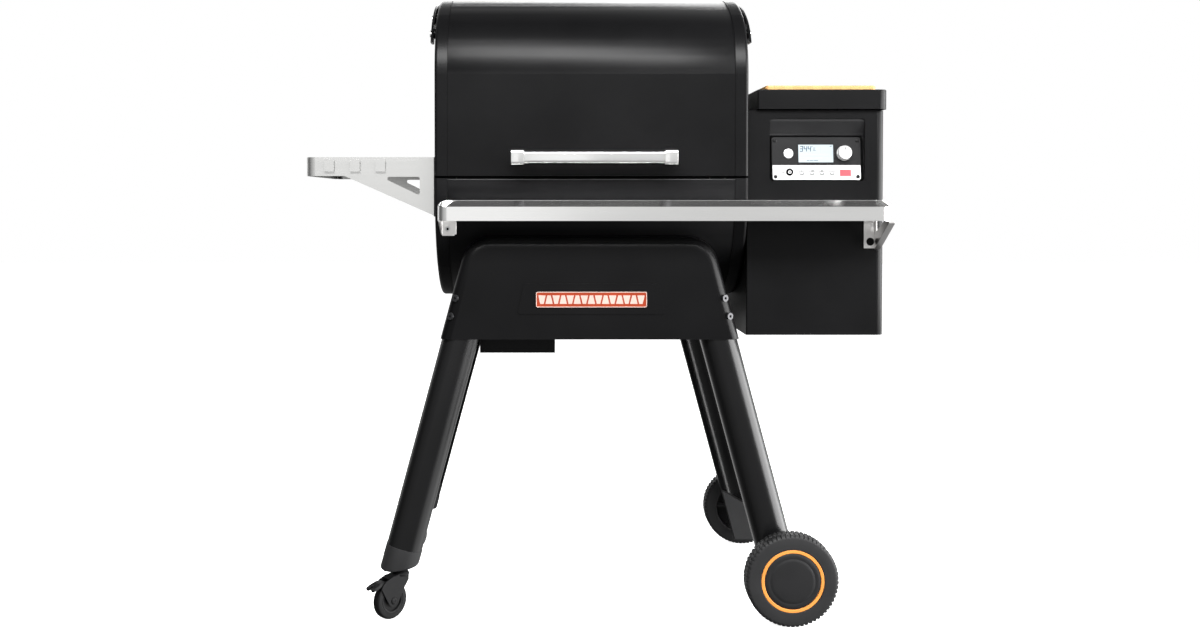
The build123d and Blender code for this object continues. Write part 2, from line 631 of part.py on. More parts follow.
def make_aprons():
    for side, name in ((-1, "apron_front"), (1, "apron_rear")):
        face = AXIS_Y + side * (LEG_FACE + APRON_SHEET)
        with BuildPart() as apron:
            with BuildSketch(Plane.XZ.offset(-face)) as outline:
                with BuildLine():
                    apron_outline(APRON_SHEET / cos(radians(LEG_TILT)) + 0.1)
                make_face()
                fillet(outline.vertices().group_by(Axis.Y)[-1], APRON_SHOULDER)
            extrude(amount=side * APRON_DEPTH)
            front = faces().filter_by(Axis.Y).sort_by(Axis.Y)[-1 if side > 0 else 0]
            back = faces().filter_by(Axis.Y).sort_by(Axis.Y)[0 if side > 0 else -1]
            rolled = front.edges().filter_by(lambda edge: edge.center().Z > APRON_BOTTOM + 1)
            fillet(rolled, APRON_EDGE)
            open_sides = faces().filter_by(Axis.Y).sort_by_distance(back.center())[:1]
            open_sides += faces().filter_by(Axis.Z).sort_by(Axis.Z)[:1]
            offset(amount=-APRON_SHEET, openings=open_sides)
            if side < 0:
                pad_top = [(FRAME_X + 138, 673), (FRAME_X - 132, 673)]
                pad = [(FRAME_X - 145, 612), (FRAME_X + 150, 612)] + pad_top
                front_prism(pad, face - 1.5, face)
                fillet(edges().filter_by(Axis.Y).filter_by_position(Axis.Y, face - 2, face), 5)
            barrel_prism(-0.2, BARREL_LEFT, BARREL_RIGHT, Mode.SUBTRACT)
        save(apron, name)

    with BuildPart() as badge:
        front = AXIS_Y - LEG_FACE - APRON_SHEET - 1.5
        with BuildSketch(Plane.XZ.offset(-front)):
            with Locations((FRAME_X + 2.5, 641.5)):
                RectangleRounded(221, 31, 3.5)
        extrude(amount=2)
    save(badge, "badge")

    with BuildPart() as bolts:
        lean = radians(33)
        for side in (-1, 1):
            face = AXIS_Y + side * (LEG_FACE + APRON_SHEET)
            for hand in (-1, 1):
                for x, z in corner_bolts():
                    out = Vector(hand * sin(lean), side * cos(lean), 0)
                    base = Vector(FRAME_X + hand * x, face - side * (APRON_EDGE * (1 - cos(lean))), z)
                    with BuildSketch(Plane(origin=base + out * 0.9, z_dir=out)):
                        Circle(7)
                        RegularPolygon(3, 6, mode=Mode.SUBTRACT)
                    extrude(amount=4.2)
    save(bolts, "leg_bolts")


# ---------------------------------------------------------------- wheels
def make_wheels():
    for side, end in ((-1, "front"), (1, "rear")):
        face = AXIS_Y + side * WHEEL_FACE
        inner = face - side * WHEEL_WIDTH
        centre = (AXLE_X, face, WHEEL_RADIUS)

        def station(depth):
            """Point on the axle a given depth in from the wheel's outer face."""
            return (AXLE_X, face - side * depth, WHEEL_RADIUS)

        with BuildPart() as wheel:
            rod(centre, station(WHEEL_WIDTH), WHEEL_RADIUS)
            rims = edges().filter_by(GeomType.CIRCLE)
            fillet(rims, 8)
            rod(station(0), station(4), RING_OUTER + 0.5, Mode.SUBTRACT)
            rod(station(10), station(WHEEL_WIDTH), 62.5, Mode.SUBTRACT)
            rod(station(9), station(WHEEL_WIDTH), 18)
            for i in range(6):
                turn = i * pi / 3
                tip = (AXLE_X + 64 * cos(turn), (face - side * 24), WHEEL_RADIUS + 64 * sin(turn))
                across = Vector(-sin(turn), 0, cos(turn))
                with BuildSketch(Plane(origin=tip, x_dir=across, z_dir=(-cos(turn), 0, -sin(turn)))):
                    Rectangle(4, 30)
                extrude(amount=50)
            rod(station(-1), station(WHEEL_WIDTH + 1), AXLE_RADIUS + CLEARANCE, Mode.SUBTRACT)
            rod(station(3), station(7), 16, Mode.SUBTRACT)
        save(wheel, f"{end}_wheel")

        with BuildPart() as ring:
            rod(station(0.5), station(4), RING_OUTER)
            rod(station(0.5), station(4), RING_INNER, Mode.SUBTRACT)
        save(ring, f"{end}_ring")

        with BuildPart() as cap:
            rod(station(1.5), station(4), RING_INNER)
            rod(station(0.5), station(1.5), 43)
        save(cap, f"{end}_hub_cap")

    with BuildPart() as axles:
        for side in (-1, 1):
            face = AXIS_Y + side * WHEEL_FACE
            leg_face = AXIS_Y + side * LEG_FACE
            seat = (AXLE_X, AXIS_Y + side * 240, WHEEL_RADIUS)
            rod(seat, (AXLE_X, face - side * 8, WHEEL_RADIUS), AXLE_RADIUS)
            rod((AXLE_X, AXIS_Y + side * 232, WHEEL_RADIUS), seat, 12)
            collar = (AXLE_X, face - side * (WHEEL_WIDTH + 0.4), WHEEL_RADIUS)
            rod((AXLE_X, leg_face, WHEEL_RADIUS), collar, 14)
            rod((AXLE_X, face - side * 8.6, WHEEL_RADIUS), (AXLE_X, face - side * 5, WHEEL_RADIUS), 8.0)
    save(axles, "wheel_axles")


def caster_point(side, along, across, z):
    """World point of a caster: along its trail, across it, and up from the floor."""
    turn = radians(CASTER_TURN)
    x = CASTER_X + along * cos(turn) - across * sin(turn)
    y = AXIS_Y + side * CASTER_Y + along * sin(turn) + across * cos(turn)
    return (x, y, z)


def caster_plane(side, across):
    """Upright plane along a caster's trail, a given distance to one side: x along, y up."""
    turn = radians(CASTER_TURN)
    return Plane(
        origin=caster_point(side, 0, across, 0),
        x_dir=(cos(turn), sin(turn), 0),
        z_dir=(sin(turn), -cos(turn), 0),
    )


def make_casters():
    half_fork = CASTER_WIDTH / 2 + 3.8
    half_slot = CASTER_WIDTH / 2 + 1.2
    for side, end in ((-1, "front"), (1, "rear")):
        with BuildPart() as yoke:
            with BuildSketch(caster_plane(side, half_fork)):
                with BuildLine():
                    tail = [(58, 68), (36, 33), (27, 28), (18, 33), (3, 56)]
                    Polyline(tail + [(-12, 76), (-12, 88), (16, 88)])
                    ThreePointArc((16, 88), (40, 82.5), (58, 68))
                make_face()
            extrude(amount=2 * half_fork)
            with BuildSketch(caster_plane(side, half_slot)):
                with Locations((CASTER_TRAIL, CASTER_RADIUS)):
                    Circle(CASTER_RADIUS + 3)
            extrude(amount=2 * half_slot, mode=Mode.SUBTRACT)
            lever_slot = [(40, 70), (64, 56), (64, 90), (47, 90), (40, 79)]
            with BuildSketch(caster_plane(side, 11)):
                with BuildLine():
                    Polyline(lever_slot, close=True)
                make_face()
            extrude(amount=22, mode=Mode.SUBTRACT)
            rod(caster_point(side, 0, 0, 84), caster_point(side, 0, 0, CASTER_TOP), 15)
            rod(caster_point(side, 0, 0, 84), caster_point(side, 0, 0, 126), 6)
            for away in (-1, 1):
                middle = caster_point(side, CASTER_TRAIL, 0, CASTER_RADIUS)
                cheek = caster_point(side, CASTER_TRAIL, away * half_fork, CASTER_RADIUS)
                head = caster_point(side, CASTER_TRAIL, away * (half_fork + 2), CASTER_RADIUS)
                rod(middle, cheek, 4)
                rod(cheek, head, 6)
            rod(caster_point(side, 49, -half_fork, 74), caster_point(side, 49, half_fork, 74), 1.5)
        save(yoke, f"{end}_caster_yoke")

        with BuildPart() as wheel:
            left = caster_point(side, CASTER_TRAIL, -CASTER_WIDTH / 2, CASTER_RADIUS)
            right = caster_point(side, CASTER_TRAIL, CASTER_WIDTH / 2, CASTER_RADIUS)
            rod(left, right, CASTER_RADIUS)
            fillet(edges().filter_by(GeomType.CIRCLE), 3)
            rod(left, right, 4 + CLEARANCE, Mode.SUBTRACT)
        save(wheel, f"{end}_caster_wheel")

        with BuildPart() as brake:
            with BuildSketch(caster_plane(side, 10.5)):
                with BuildLine():
                    tip = [(60, 77), (82, 71), (84, 66), (81, 64), (62, 71.5)]
                    Polyline([(46, 78)] + tip + [(46, 71)], close=True)
                make_face()
                with Locations((49, 74)):
                    Circle(1.8, mode=Mode.SUBTRACT)
            extrude(amount=21)
        save(brake, f"{end}_caster_brake")


# ---------------------------------------------------------------- shelves
def make_side_shelf():
    bottom = TRAY_TOP - TRAY_SKIRT
    corner = 20.0
    with BuildPart() as shelf:
        radii = (corner, 0.5, 0.5, corner)
        rounded_column((TRAY_LEFT, TRAY_RIGHT), (TRAY_FRONT, TRAY_REAR), (bottom, TRAY_TOP), radii)
        hollow_x = (TRAY_LEFT + SHELF_SHEET, TRAY_RIGHT + 1)
        hollow_y = (TRAY_FRONT + SHELF_SHEET, TRAY_REAR - SHELF_SHEET)
        inner = (corner - SHELF_SHEET, 0.5, 0.5, corner - SHELF_SHEET)
        rounded_column(hollow_x, hollow_y, (bottom - 1, TRAY_TOP - SHELF_SHEET), inner, Mode.SUBTRACT)
        knee = FRAME_X - 500.0
        foot = 808.0
        gusset = [(knee, bottom + 1), (knee, bottom), (TRAY_RIGHT, foot), (TRAY_RIGHT, bottom + 1)]
        hole = [(FRAME_X - 426, bottom - 1.5), (FRAME_X - 346, bottom - 1.5), (FRAME_X - 346, bottom - 40)]
        for y in (TRAY_FRONT, TRAY_REAR - SHELF_SHEET):
            front_prism(gusset, y, y + SHELF_SHEET)
            with BuildSketch(Plane.XZ.offset(-y + 1)) as window:
                with BuildLine():
                    Polyline(hole, close=True)
                make_face()
                fillet(window.vertices(), 4)
            extrude(amount=-(SHELF_SHEET + 2), mode=Mode.SUBTRACT)
        for y in (TRAY_FRONT, TRAY_REAR - 20):
            block((TRAY_RIGHT - SHELF_SHEET, TRAY_RIGHT), (y, y + 20), (foot, TRAY_TOP - 1))
        for x in (-541.0, -488.0, -436.0):
            # utensil hook: a tab that stands off the front skirt, joined to it at its foot
            left = FRAME_X + x
            tab_front = TRAY_FRONT - 6
            block((left, left + 20), (tab_front, TRAY_FRONT), (bottom + 9, bottom + 11))
            block((left, left + 20), (tab_front, tab_front + 2), (bottom + 9, bottom + 33))
    save(shelf, "side_shelf")

    with BuildPart() as mounts:
        for y in (TRAY_FRONT - 2, TRAY_REAR - 28):
            block((TRAY_RIGHT, BARREL_LEFT), (y, y + 30), (foot - 2, TRAY_TOP))
        # each strip touches only the body's end, and stands clear of the lid's
        lid_x = (BARREL_LEFT - 0.5, BARREL_LEFT + 1)
        block(lid_x, (-400, 400), (LID_EDGE_Z - LID_GAP, 1000), Mode.SUBTRACT)
    save(mounts, "shelf_mounts")


def shelf_block(inset, z, mode=Mode.ADD):
    """Plan of the front shelf: a long tray in front of the barrel, with a wing back to the hopper."""
    x = (SHELF_LEFT + inset, SHELF_RIGHT - inset)
    y = (SHELF_FRONT + inset, SHELF_REAR - inset)
    rounded_column(x, y, z, (22 - inset, 20 - inset, 3, 40 - inset), mode)
    wing = (HOPPER_LEFT + inset, SHELF_RIGHT - inset)
    rounded_column(wing, (SHELF_REAR - 20, HOPPER_FRONT - inset), z, (1, 1, 3, 1), mode)


def make_front_shelf():
    back = SHELF_REAR
    floor = SHELF_RIM - 5
    with BuildPart() as pocket:
        # the tray's inside, whose floor sweeps up in a ramp to the rear edge
        shelf_block(SHELF_SHEET, (floor, SHELF_BACK + 1))
        for x0, x1, rear in (
            (SHELF_LEFT, HOPPER_LEFT + SHELF_SHEET, back),
            (HOPPER_LEFT, SHELF_RIGHT, HOPPER_FRONT),
        ):
            edge = rear - SHELF_SHEET
            ramp = [(edge - SHELF_RAMP, floor - 1), (edge - SHELF_RAMP, floor)]
            ramp += [(edge, SHELF_BACK - 0.5), (edge + 1, SHELF_BACK - 0.5), (edge + 1, floor - 1)]
            side_prism(ramp, x0, x1, Mode.SUBTRACT)
    with BuildPart() as shelf:
        shelf_block(0, (SHELF_BOTTOM, SHELF_BACK))
        wedge = [(SHELF_FRONT - 1, SHELF_RIM), (SHELF_FRONT + 4, SHELF_RIM), (back - 6, SHELF_BACK)]
        wedge += [(SHELF_FRONT - 1, SHELF_BACK + 1)]
        side_prism(wedge, SHELF_LEFT - 1, SHELF_RIGHT + 1, Mode.SUBTRACT)
        add(pocket.part, mode=Mode.SUBTRACT)
        shelf_block(SHELF_SHEET, (SHELF_BOTTOM - 1, floor - SHELF_SHEET), Mode.SUBTRACT)
    save(shelf, "front_shelf")

    s = 2.5
    under = SHELF_RIM - 5 - SHELF_SHEET
    tip_y = SHELF_FRONT + 9
    with BuildPart() as brackets:
        # right-hand bracket, screwed to the hopper's face
        face = HOPPER_FRONT
        plate_x = (FRAME_X + 555.8, FRAME_X + 580.0)
        block(plate_x, (face - s, face), (742, under))
        gusset = [(face, 742), (face, under), (tip_y, under), (tip_y, SHELF_BOTTOM - 2)]
        web = (FRAME_X + 577.5, FRAME_X + 580.0)
        side_prism(gusset, *web)
        window = [(face - 12, 776), (face - 12, under - 6), (tip_y + 26, under - 6), (tip_y + 26, 803)]
        side_prism(window, web[0] - 1, web[1] + 1, Mode.SUBTRACT)
        lip = [(face, 742), (tip_y, SHELF_BOTTOM - 2), (tip_y, SHELF_BOTTOM - 4.5), (face, 739.5)]
        side_prism(lip, web[0], FRAME_X + 590)
        # left-hand bracket, on a spacer against the curved belly of the barrel
        face = BELLY_FRONT - 0.5
        plate_x = (FRAME_X - 297.8, FRAME_X - 267)
        block(plate_x, (face - s, face), (771, under))
        web = (FRAME_X - 297.8, FRAME_X - 295.3)
        side_prism([(face, 771), (face, under), (tip_y, under), (tip_y, SHELF_BOTTOM - 2)], *web)
        block((FRAME_X - 295.3, FRAME_X - 271), (face - s - 3, face), (768.5, 771))
        block((FRAME_X - 290, FRAME_X - 270), (face, face + 40), (772, 800))
        barrel_prism(0, BARREL_LEFT, BARREL_RIGHT, Mode.SUBTRACT)
        # slots that let the brackets pass the tray's own rear wall
        wall_z = (SHELF_BOTTOM - 0.5, under + 1)
        block((FRAME_X - 300, FRAME_X - 290), (SHELF_REAR - 42, SHELF_REAR), wall_z, Mode.SUBTRACT)
        rear = (HOPPER_FRONT - SHELF_SHEET - 5, HOPPER_FRONT)
        block((FRAME_X + 550, FRAME_X + 585), rear, wall_z, Mode.SUBTRACT)
        corners = (SHELF_FRONT, SHELF_FRONT + 24)
        block((SHELF_LEFT, SHELF_RIGHT), corners, wall_z, Mode.SUBTRACT)
        for x in (FRAME_X - 284.4, FRAME_X + 569):
            z = 782 if x < 0 else 755.5
            rod((x, AXIS_Y - 290, z), (x, AXIS_Y - 228, z), 3, Mode.SUBTRACT)
    save(brackets, "front_shelf_brackets")

    with BuildPart() as screws:
        for x, z, face, radius in (
            (FRAME_X - 284.4, 782, BELLY_FRONT - 0.5 - s, 5.5),
            (FRAME_X + 569, 755.5, HOPPER_FRONT - s, 8),
        ):
            rod((x, face + 2.5, z), (x, face - 2.5, z), 3)
            rod((x, face, z), (x, face - 2.5, z), radius)
    save(screws, "shelf_screws")


def make_grease_box():
    wall = 2.0
    y = (AXIS_Y - BOX_HALF, AXIS_Y + BOX_HALF)
    with BuildPart() as box:
        block((BOX_LEFT, BOX_RIGHT), y, (BOX_BOTTOM, 700))
        inner_y = (y[0] + wall, y[1] - wall)
        block((BOX_LEFT - 1, BOX_RIGHT - wall), inner_y, (BOX_BOTTOM + wall, BOX_MOUTH), Mode.SUBTRACT)
        block((BOX_LEFT + wall, BOX_RIGHT - wall), inner_y, (BOX_MOUTH - 1, 701), Mode.SUBTRACT)
        barrel_prism(0, BARREL_LEFT, BARREL_RIGHT, Mode.SUBTRACT)
    save(box, "grease_box")

    with BuildPart() as tray:
        low = BOX_BOTTOM + wall + 0.6
        tray_y = (y[0] + wall + 1.5, y[1] - wall - 1.5)
        block((BOX_LEFT + 1, BOX_RIGHT - wall - 2), tray_y, (low, 558))
        inside = (BOX_LEFT + 3, BOX_RIGHT - wall - 4)
        block(inside, (tray_y[0] + 2, tray_y[1] - 2), (low + 2, 559), Mode.SUBTRACT)
        block((BOX_LEFT - 9, BOX_LEFT + 1), (AXIS_Y - 40, AXIS_Y + 40), (550, 552))
        block((BOX_LEFT - 9, BOX_LEFT - 7), (AXIS_Y - 40, AXIS_Y + 40), (540, 552))
    save(tray, "grease_tray")


# ---------------------------------------------------------------- hopper
def make_hopper():
    s = HOPPER_SHEET
    c = HOPPER_CORNER
    with BuildPart() as body:
        x = (HOPPER_LEFT, HOPPER_RIGHT)
        y = (HOPPER_FRONT, HOPPER_REAR)
        rounded_column(x, y, (HOPPER_BOTTOM, HOPPER_TOP), (3, c, c, 3))
        inner = ((x[0] + s, x[1] - s), (y[0] + s, y[1] - s))
        radii = (1, c - s, c - s, 1)
        rounded_column(*inner, (HOPPER_BOTTOM + s, HOPPER_TOP - s), radii, Mode.SUBTRACT)
        deck = ((x[0] + 14, x[1] - 14), (y[0] + 75, y[1] - 12))
        rounded_column(*deck, (HOPPER_TOP - s - 1, HOPPER_TOP + 1), (6, 6, 6, 6), Mode.SUBTRACT)
        with BuildSketch(Plane.XZ.offset(-y[0] + 1)):
            with Locations(((BEZEL_LEFT + BEZEL_RIGHT) / 2, (BEZEL_BOTTOM + BEZEL_TOP) / 2)):
                RectangleRounded(BEZEL_RIGHT - BEZEL_LEFT, BEZEL_TOP - BEZEL_BOTTOM, 8)
        extrude(amount=-(s + 2), mode=Mode.SUBTRACT)
        wall = (x[0] - 1, x[0] + s + 1)
        rod((wall[0], AXIS_Y, AUGER_Z), (wall[1], AXIS_Y, AUGER_Z), TUBE_OUTER, Mode.SUBTRACT)
        rod((wall[0], FAN_Y, FAN_Z), (wall[1], FAN_Y, FAN_Z), 35, Mode.SUBTRACT)
        block((FRAME_X + 436, FRAME_X + 480), (y[1] - 5, y[1] + 5), (606, 630), Mode.SUBTRACT)
        with Locations((FRAME_X + 460, AXIS_Y - 40, HOPPER_BOTTOM)):
            with GridLocations(0, 18, 1, 8):
                Box(90, 6, 12, mode=Mode.SUBTRACT)
        # fixed half of the lid's hinge, with its pin
        pivot = (HOPPER_HINGE_Y, HOPPER_HINGE_Z)
        rod((FRAME_X + 360, *pivot), (FRAME_X + 580, *pivot), PIN_RADIUS / 2)
        for a, b in ((360, 395.4), (440.6, 499.4), (544.6, 580)):
            knuckle = (FRAME_X + a, FRAME_X + b)
            rod((knuckle[0], *pivot), (knuckle[1], *pivot), 5.5)
            block(knuckle, (HOPPER_HINGE_Y - 3, HOPPER_HINGE_Y + 5.5), (1002, HOPPER_HINGE_Z))
            block(knuckle, (HOPPER_REAR, HOPPER_HINGE_Y), (1002, 1008))
    save(body, "hopper_body")

    with BuildPart() as hopper_bin:
        for shrink, mode in ((0.0, Mode.ADD), (2.0, Mode.SUBTRACT)):
            top = (deck[0][1] - deck[0][0] - 2 * shrink, deck[1][1] - deck[1][0] - 2 * shrink)
            middle_x = (deck[0][0] + deck[0][1]) / 2
            middle_y = (deck[1][0] + deck[1][1]) / 2
            waist_z = 880.0
            overlap = shrink / 2
            block(
                (middle_x - top[0] / 2, middle_x + top[0] / 2),
                (middle_y - top[1] / 2, middle_y + top[1] / 2),
                (waist_z, HOPPER_TOP - s + overlap),
                mode,
            )
            with BuildSketch(Plane.XY.offset(waist_z)):
                with Locations((middle_x, middle_y)):
                    Rectangle(*top)
            with BuildSketch(Plane.XY.offset(AUGER_Z + TUBE_OUTER - overlap)):
                with Locations((FRAME_X + 470, AXIS_Y)):
                    Rectangle(64 - 2 * shrink, 44 - 2 * shrink)
            loft(mode=mode)
    save(hopper_bin, "hopper_bin")

    with BuildPart() as lid:
        corners = (3, LID_CORNER, LID_CORNER, 3)
        rounded_column((LID_LEFT, LID_RIGHT), (LID_FRONT, LID_REAR), (LID_BOTTOM, LID_TOP), corners)
        fillet(faces().sort_by(Axis.Z)[-1].edges(), 1.5)
        top_skin = BOARD_RECESS + s
        hollow = (LID_BOTTOM - 1, LID_TOP - top_skin)
        x_in = (LID_LEFT + s, LID_RIGHT - s)
        corners = (1, LID_CORNER - s, LID_CORNER - s, 1)
        rounded_column(x_in, (LID_FRONT + s, LID_REAR - s), hollow, corners, Mode.SUBTRACT)
        grow = 0.5
        seat_x = (BOARD_LEFT - grow, BOARD_RIGHT + grow)
        seat_y = (BOARD_FRONT - grow, BOARD_REAR + grow)
        rounded_column(seat_x, seat_y, (LID_TOP - BOARD_RECESS, LID_TOP + 1), (8, 8, 8, 8), Mode.SUBTRACT)
        for x0, x1 in ((FRAME_X + 396, FRAME_X + 440), (FRAME_X + 500, FRAME_X + 544)):
            rod((x0, HOPPER_HINGE_Y, HOPPER_HINGE_Z), (x1, HOPPER_HINGE_Y, HOPPER_HINGE_Z), 5.5)
            block((x0, x1), (LID_REAR - 0.5, HOPPER_HINGE_Y), (HOPPER_HINGE_Z, HOPPER_HINGE_Z + 5.5))
            hole = PIN_RADIUS / 2 + CLEARANCE
            end = (x1, HOPPER_HINGE_Y, HOPPER_HINGE_Z)
            rod((x0, HOPPER_HINGE_Y, HOPPER_HINGE_Z), end, hole, Mode.SUBTRACT)
    save(lid, "hopper_lid")

    with BuildPart() as board:
        z = (LID_TOP - BOARD_RECESS, BOARD_TOP)
        rounded_column((BOARD_LEFT, BOARD_RIGHT), (BOARD_FRONT, BOARD_REAR), z, (8, 8, 8, 8))
        fillet(faces().sort_by(Axis.Z)[-1].edges(), 2)
    save(board, "serving_board")


def make_feed():
    tube_right = FRAME_X + 535.0
    tube_left = POT_X + POT_RADIUS - 2.5
    with BuildPart() as tube:
        rod((tube_left, AXIS_Y, AUGER_Z), (tube_right, AXIS_Y, AUGER_Z), TUBE_OUTER)
        rod((tube_left, AXIS_Y, AUGER_Z), (tube_right, AXIS_Y, AUGER_Z), TUBE_INNER, Mode.SUBTRACT)
        inlet = (FRAME_X + 441, FRAME_X + 499)
        block(inlet, (AXIS_Y - 19, AXIS_Y + 19), (AUGER_Z, AUGER_Z + 30), Mode.SUBTRACT)
        bin_foot = (FRAME_X + 438, FRAME_X + 502)
        block(bin_foot, (AXIS_Y - 22, AXIS_Y + 22), (AUGER_Z + TUBE_OUTER - 1, AUGER_Z + 30), Mode.SUBTRACT)
    save(tube, "auger_tube")

    pitch = 42.0
    flight_start = tube_left + 12
    flight_length = tube_right - flight_start - 12
    with BuildPart() as auger:
        rod((tube_left + 8, AXIS_Y, AUGER_Z), (tube_right + 4, AXIS_Y, AUGER_Z), 6)
        turns = int(flight_length // pitch)
        for i in range(turns * 2):
            # the flight as a row of overlapping tilted discs, half a pitch apart
            x = flight_start + (i + 0.5) * pitch / 2
            lean = (1 if i % 2 else -1) * pitch / 2 / (2 * AUGER_RADIUS)
            with BuildSketch(Plane(origin=(x, AXIS_Y, AUGER_Z), z_dir=(1, 0, lean))):
                Circle(AUGER_RADIUS - 1)
            extrude(amount=1.5, both=True)
    save(auger, "auger_screw")

    with BuildPart() as motor:
        x = (tube_right, tube_right + 34)
        block(x, (AXIS_Y - 32, AXIS_Y + 32), (AUGER_Z - 34, AUGER_Z + 50))
        fillet(edges().filter_by(Axis.X), 5)
        rod((tube_right + 34, AXIS_Y, AUGER_Z + 20), (tube_right + 56, AXIS_Y, AUGER_Z + 20), 24)
        rod((tube_right, AXIS_Y, AUGER_Z), (tube_right + 8, AXIS_Y, AUGER_Z), 6 + CLEARANCE, Mode.SUBTRACT)
    save(motor, "auger_motor")

    left = HOPPER_LEFT + HOPPER_SHEET
    with BuildPart() as housing:
        block((left, left + 30), (FAN_Y - 56, FAN_Y + 56), (FAN_Z - 56, FAN_Z + 56))
        fillet(edges().filter_by(Axis.X), 6)
        rod((left, FAN_Y, FAN_Z), (left + 30, FAN_Y, FAN_Z), 50, Mode.SUBTRACT)
        strut = (left + 1, left + 5)
        block(strut, (FAN_Y - 52, FAN_Y + 52), (FAN_Z - 3, FAN_Z + 3))
        block(strut, (FAN_Y - 3, FAN_Y + 3), (FAN_Z - 52, FAN_Z + 52))
        rod((left, FAN_Y, FAN_Z), (left + 5.5, FAN_Y, FAN_Z), 15)
    save(housing, "fan_housing")

    with BuildPart() as impeller:
        start = left + 6.5
        rod((start, FAN_Y, FAN_Z), (start + 20, FAN_Y, FAN_Z), 17)
        for i in range(7):
            turn = 2 * pi * i / 7
            out = Vector(0, cos(turn), sin(turn))
            root = Vector(start + 10, FAN_Y, FAN_Z) + out * 15
            along = (cos(BLADE_PITCH), -sin(turn) * sin(BLADE_PITCH), cos(turn) * sin(BLADE_PITCH))
            with BuildSketch(Plane(origin=tuple(root), x_dir=along, z_dir=tuple(out))):
                Rectangle(20, 2)
            extrude(amount=32)
    save(impeller, "fan_impeller")


# ---------------------------------------------------------------- control panel
def panel_plane(lift=0.0):
    """Plane of the panel's front face, or one lifted off it: x to the right, y up the panel."""
    lean = radians(PANEL_LEAN)
    out = Vector(0, -cos(lean), sin(lean))
    half = PANEL_HEIGHT / 2
    middle = Vector(PANEL_X, HOPPER_FRONT + 0.8 + half * sin(lean), PANEL_Z)
    return Plane(origin=tuple(middle + out * lift), x_dir=(1, 0, 0), z_dir=tuple(out))


def panel_round(u, v, low, high, radius, mode=Mode.ADD):
    """Round boss or hole on the panel between two heights above its face."""
    with BuildSketch(panel_plane(low)) as disc:
        with Locations((u, v)):
            Circle(radius)
    extrude(disc.sketch, amount=high - low, mode=mode)


def make_controls():
    knob = (56.0, 11.0)
    menu = (-56.8, 10.3)
    power = (-54.8, -27.7)
    f = HOPPER_FRONT
    with BuildPart() as bezel:
        frame_x = (BEZEL_LEFT - 6, BEZEL_RIGHT + 6)
        block(frame_x, (f + HOPPER_SHEET, f + 34), (BEZEL_BOTTOM - 6, BEZEL_TOP + 6))
        panel_top = PANEL_Z + PANEL_HEIGHT / 2
        lean_depth = PANEL_HEIGHT * sin(radians(PANEL_LEAN))
        ledge = f + 0.8 + PANEL_THICKNESS
        ceiling = [(f, BEZEL_TOP), (f + 13, panel_top + 7), (f + 14, panel_top + 3)]
        back = [(ledge + lean_depth + 0.5, panel_top + 2), (ledge + 0.2, BEZEL_BOTTOM + 0.5)]
        side_prism(ceiling + back + [(f, BEZEL_BOTTOM)], BEZEL_LEFT, BEZEL_RIGHT, Mode.SUBTRACT)
        window = (PANEL_X - 72, PANEL_X + 72)
        block(window, (f, f + 40), (PANEL_Z - 36, PANEL_Z + 34), Mode.SUBTRACT)
    save(bezel, "control_bezel")

    with BuildPart() as plate:
        with BuildSketch(panel_plane(-PANEL_THICKNESS)):
            RectangleRounded(PANEL_WIDTH, PANEL_HEIGHT, 5)
        extrude(amount=PANEL_THICKNESS)
        panel_round(*menu, -5, 1, MENU_RADIUS + 0.4, Mode.SUBTRACT)
        panel_round(*power, -5, 1, POWER_RADIUS + 0.4, Mode.SUBTRACT)
        panel_round(*knob, -5, 1, 3.4, Mode.SUBTRACT)
        for u in (-83.5, 83.5):
            for v in (-37.0, 37.0):
                panel_round(u, v, 0, 1, 3)
    save(plate, "panel_plate")

    with BuildPart() as screen:
        with BuildSketch(panel_plane(0)):
            with Locations((-1, 10.5)):
                RectangleRounded(72.7, 38.4, 2)
        extrude(amount=0.8)
    save(screen, "screen")

    with BuildPart() as dial:
        panel_round(*knob, -8, 1, 3)
        panel_round(*knob, 0.5, 4, KNOB_RADIUS + 1)
        panel_round(*knob, 4, 15, KNOB_RADIUS)
        fillet(edges().filter_by(GeomType.CIRCLE).sort_by(Axis.Y)[0], 2)
    save(dial, "control_knob")

    with BuildPart() as menu_key:
        panel_round(*menu, -3, 2.5, MENU_RADIUS)
        fillet(edges().filter_by(GeomType.CIRCLE).sort_by(Axis.Y)[0], 1)
    save(menu_key, "menu_button")

    with BuildPart() as power_key:
        panel_round(*power, -3, 2.2, POWER_RADIUS)
        fillet(edges().filter_by(GeomType.CIRCLE).sort_by(Axis.Y)[0], 0.8)
    save(power_key, "power_button")

    with BuildPart() as case:
        block((PANEL_X - 78, PANEL_X + 78), (f + 34, f + 62), (PANEL_Z - 40, PANEL_Z + 38))
        fillet(edges().filter_by(Axis.Y), 4)
    save(case, "controller_box")

    with BuildPart() as inlet:
        rear = HOPPER_REAR
        z = (606.0, 630.0)
        x = (FRAME_X + 436, FRAME_X + 480)
        block(x, (rear - 22, rear + 3), z)
        block((x[0] - 9, x[1] + 9), (rear, rear + 3), (z[0] - 4, z[1] + 4))
        block((x[0] + 10, x[1] - 10), (rear - 15, rear + 4), (z[0] + 4, z[1] - 4), Mode.SUBTRACT)
        with Locations(((x[0] + x[1]) / 2, rear - 9, 618)):
            with GridLocations(7, 1, 3, 1):
                Box(2, 13, 6)
    save(inlet, "power_inlet")


make_body()
make_fire()
make_grates()
make_lid()
make_legs()
make_aprons()
make_wheels()
make_casters()
make_side_shelf()
make_front_shelf()
make_grease_box()
make_hopper()
make_feed()
make_controls()
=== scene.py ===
"""Looks of the pellet smoker grill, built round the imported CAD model. Lengths are in metres."""
from math import cos, pi, radians, sin, tan

import bmesh
import bpy
from mathutils import Matrix, Vector


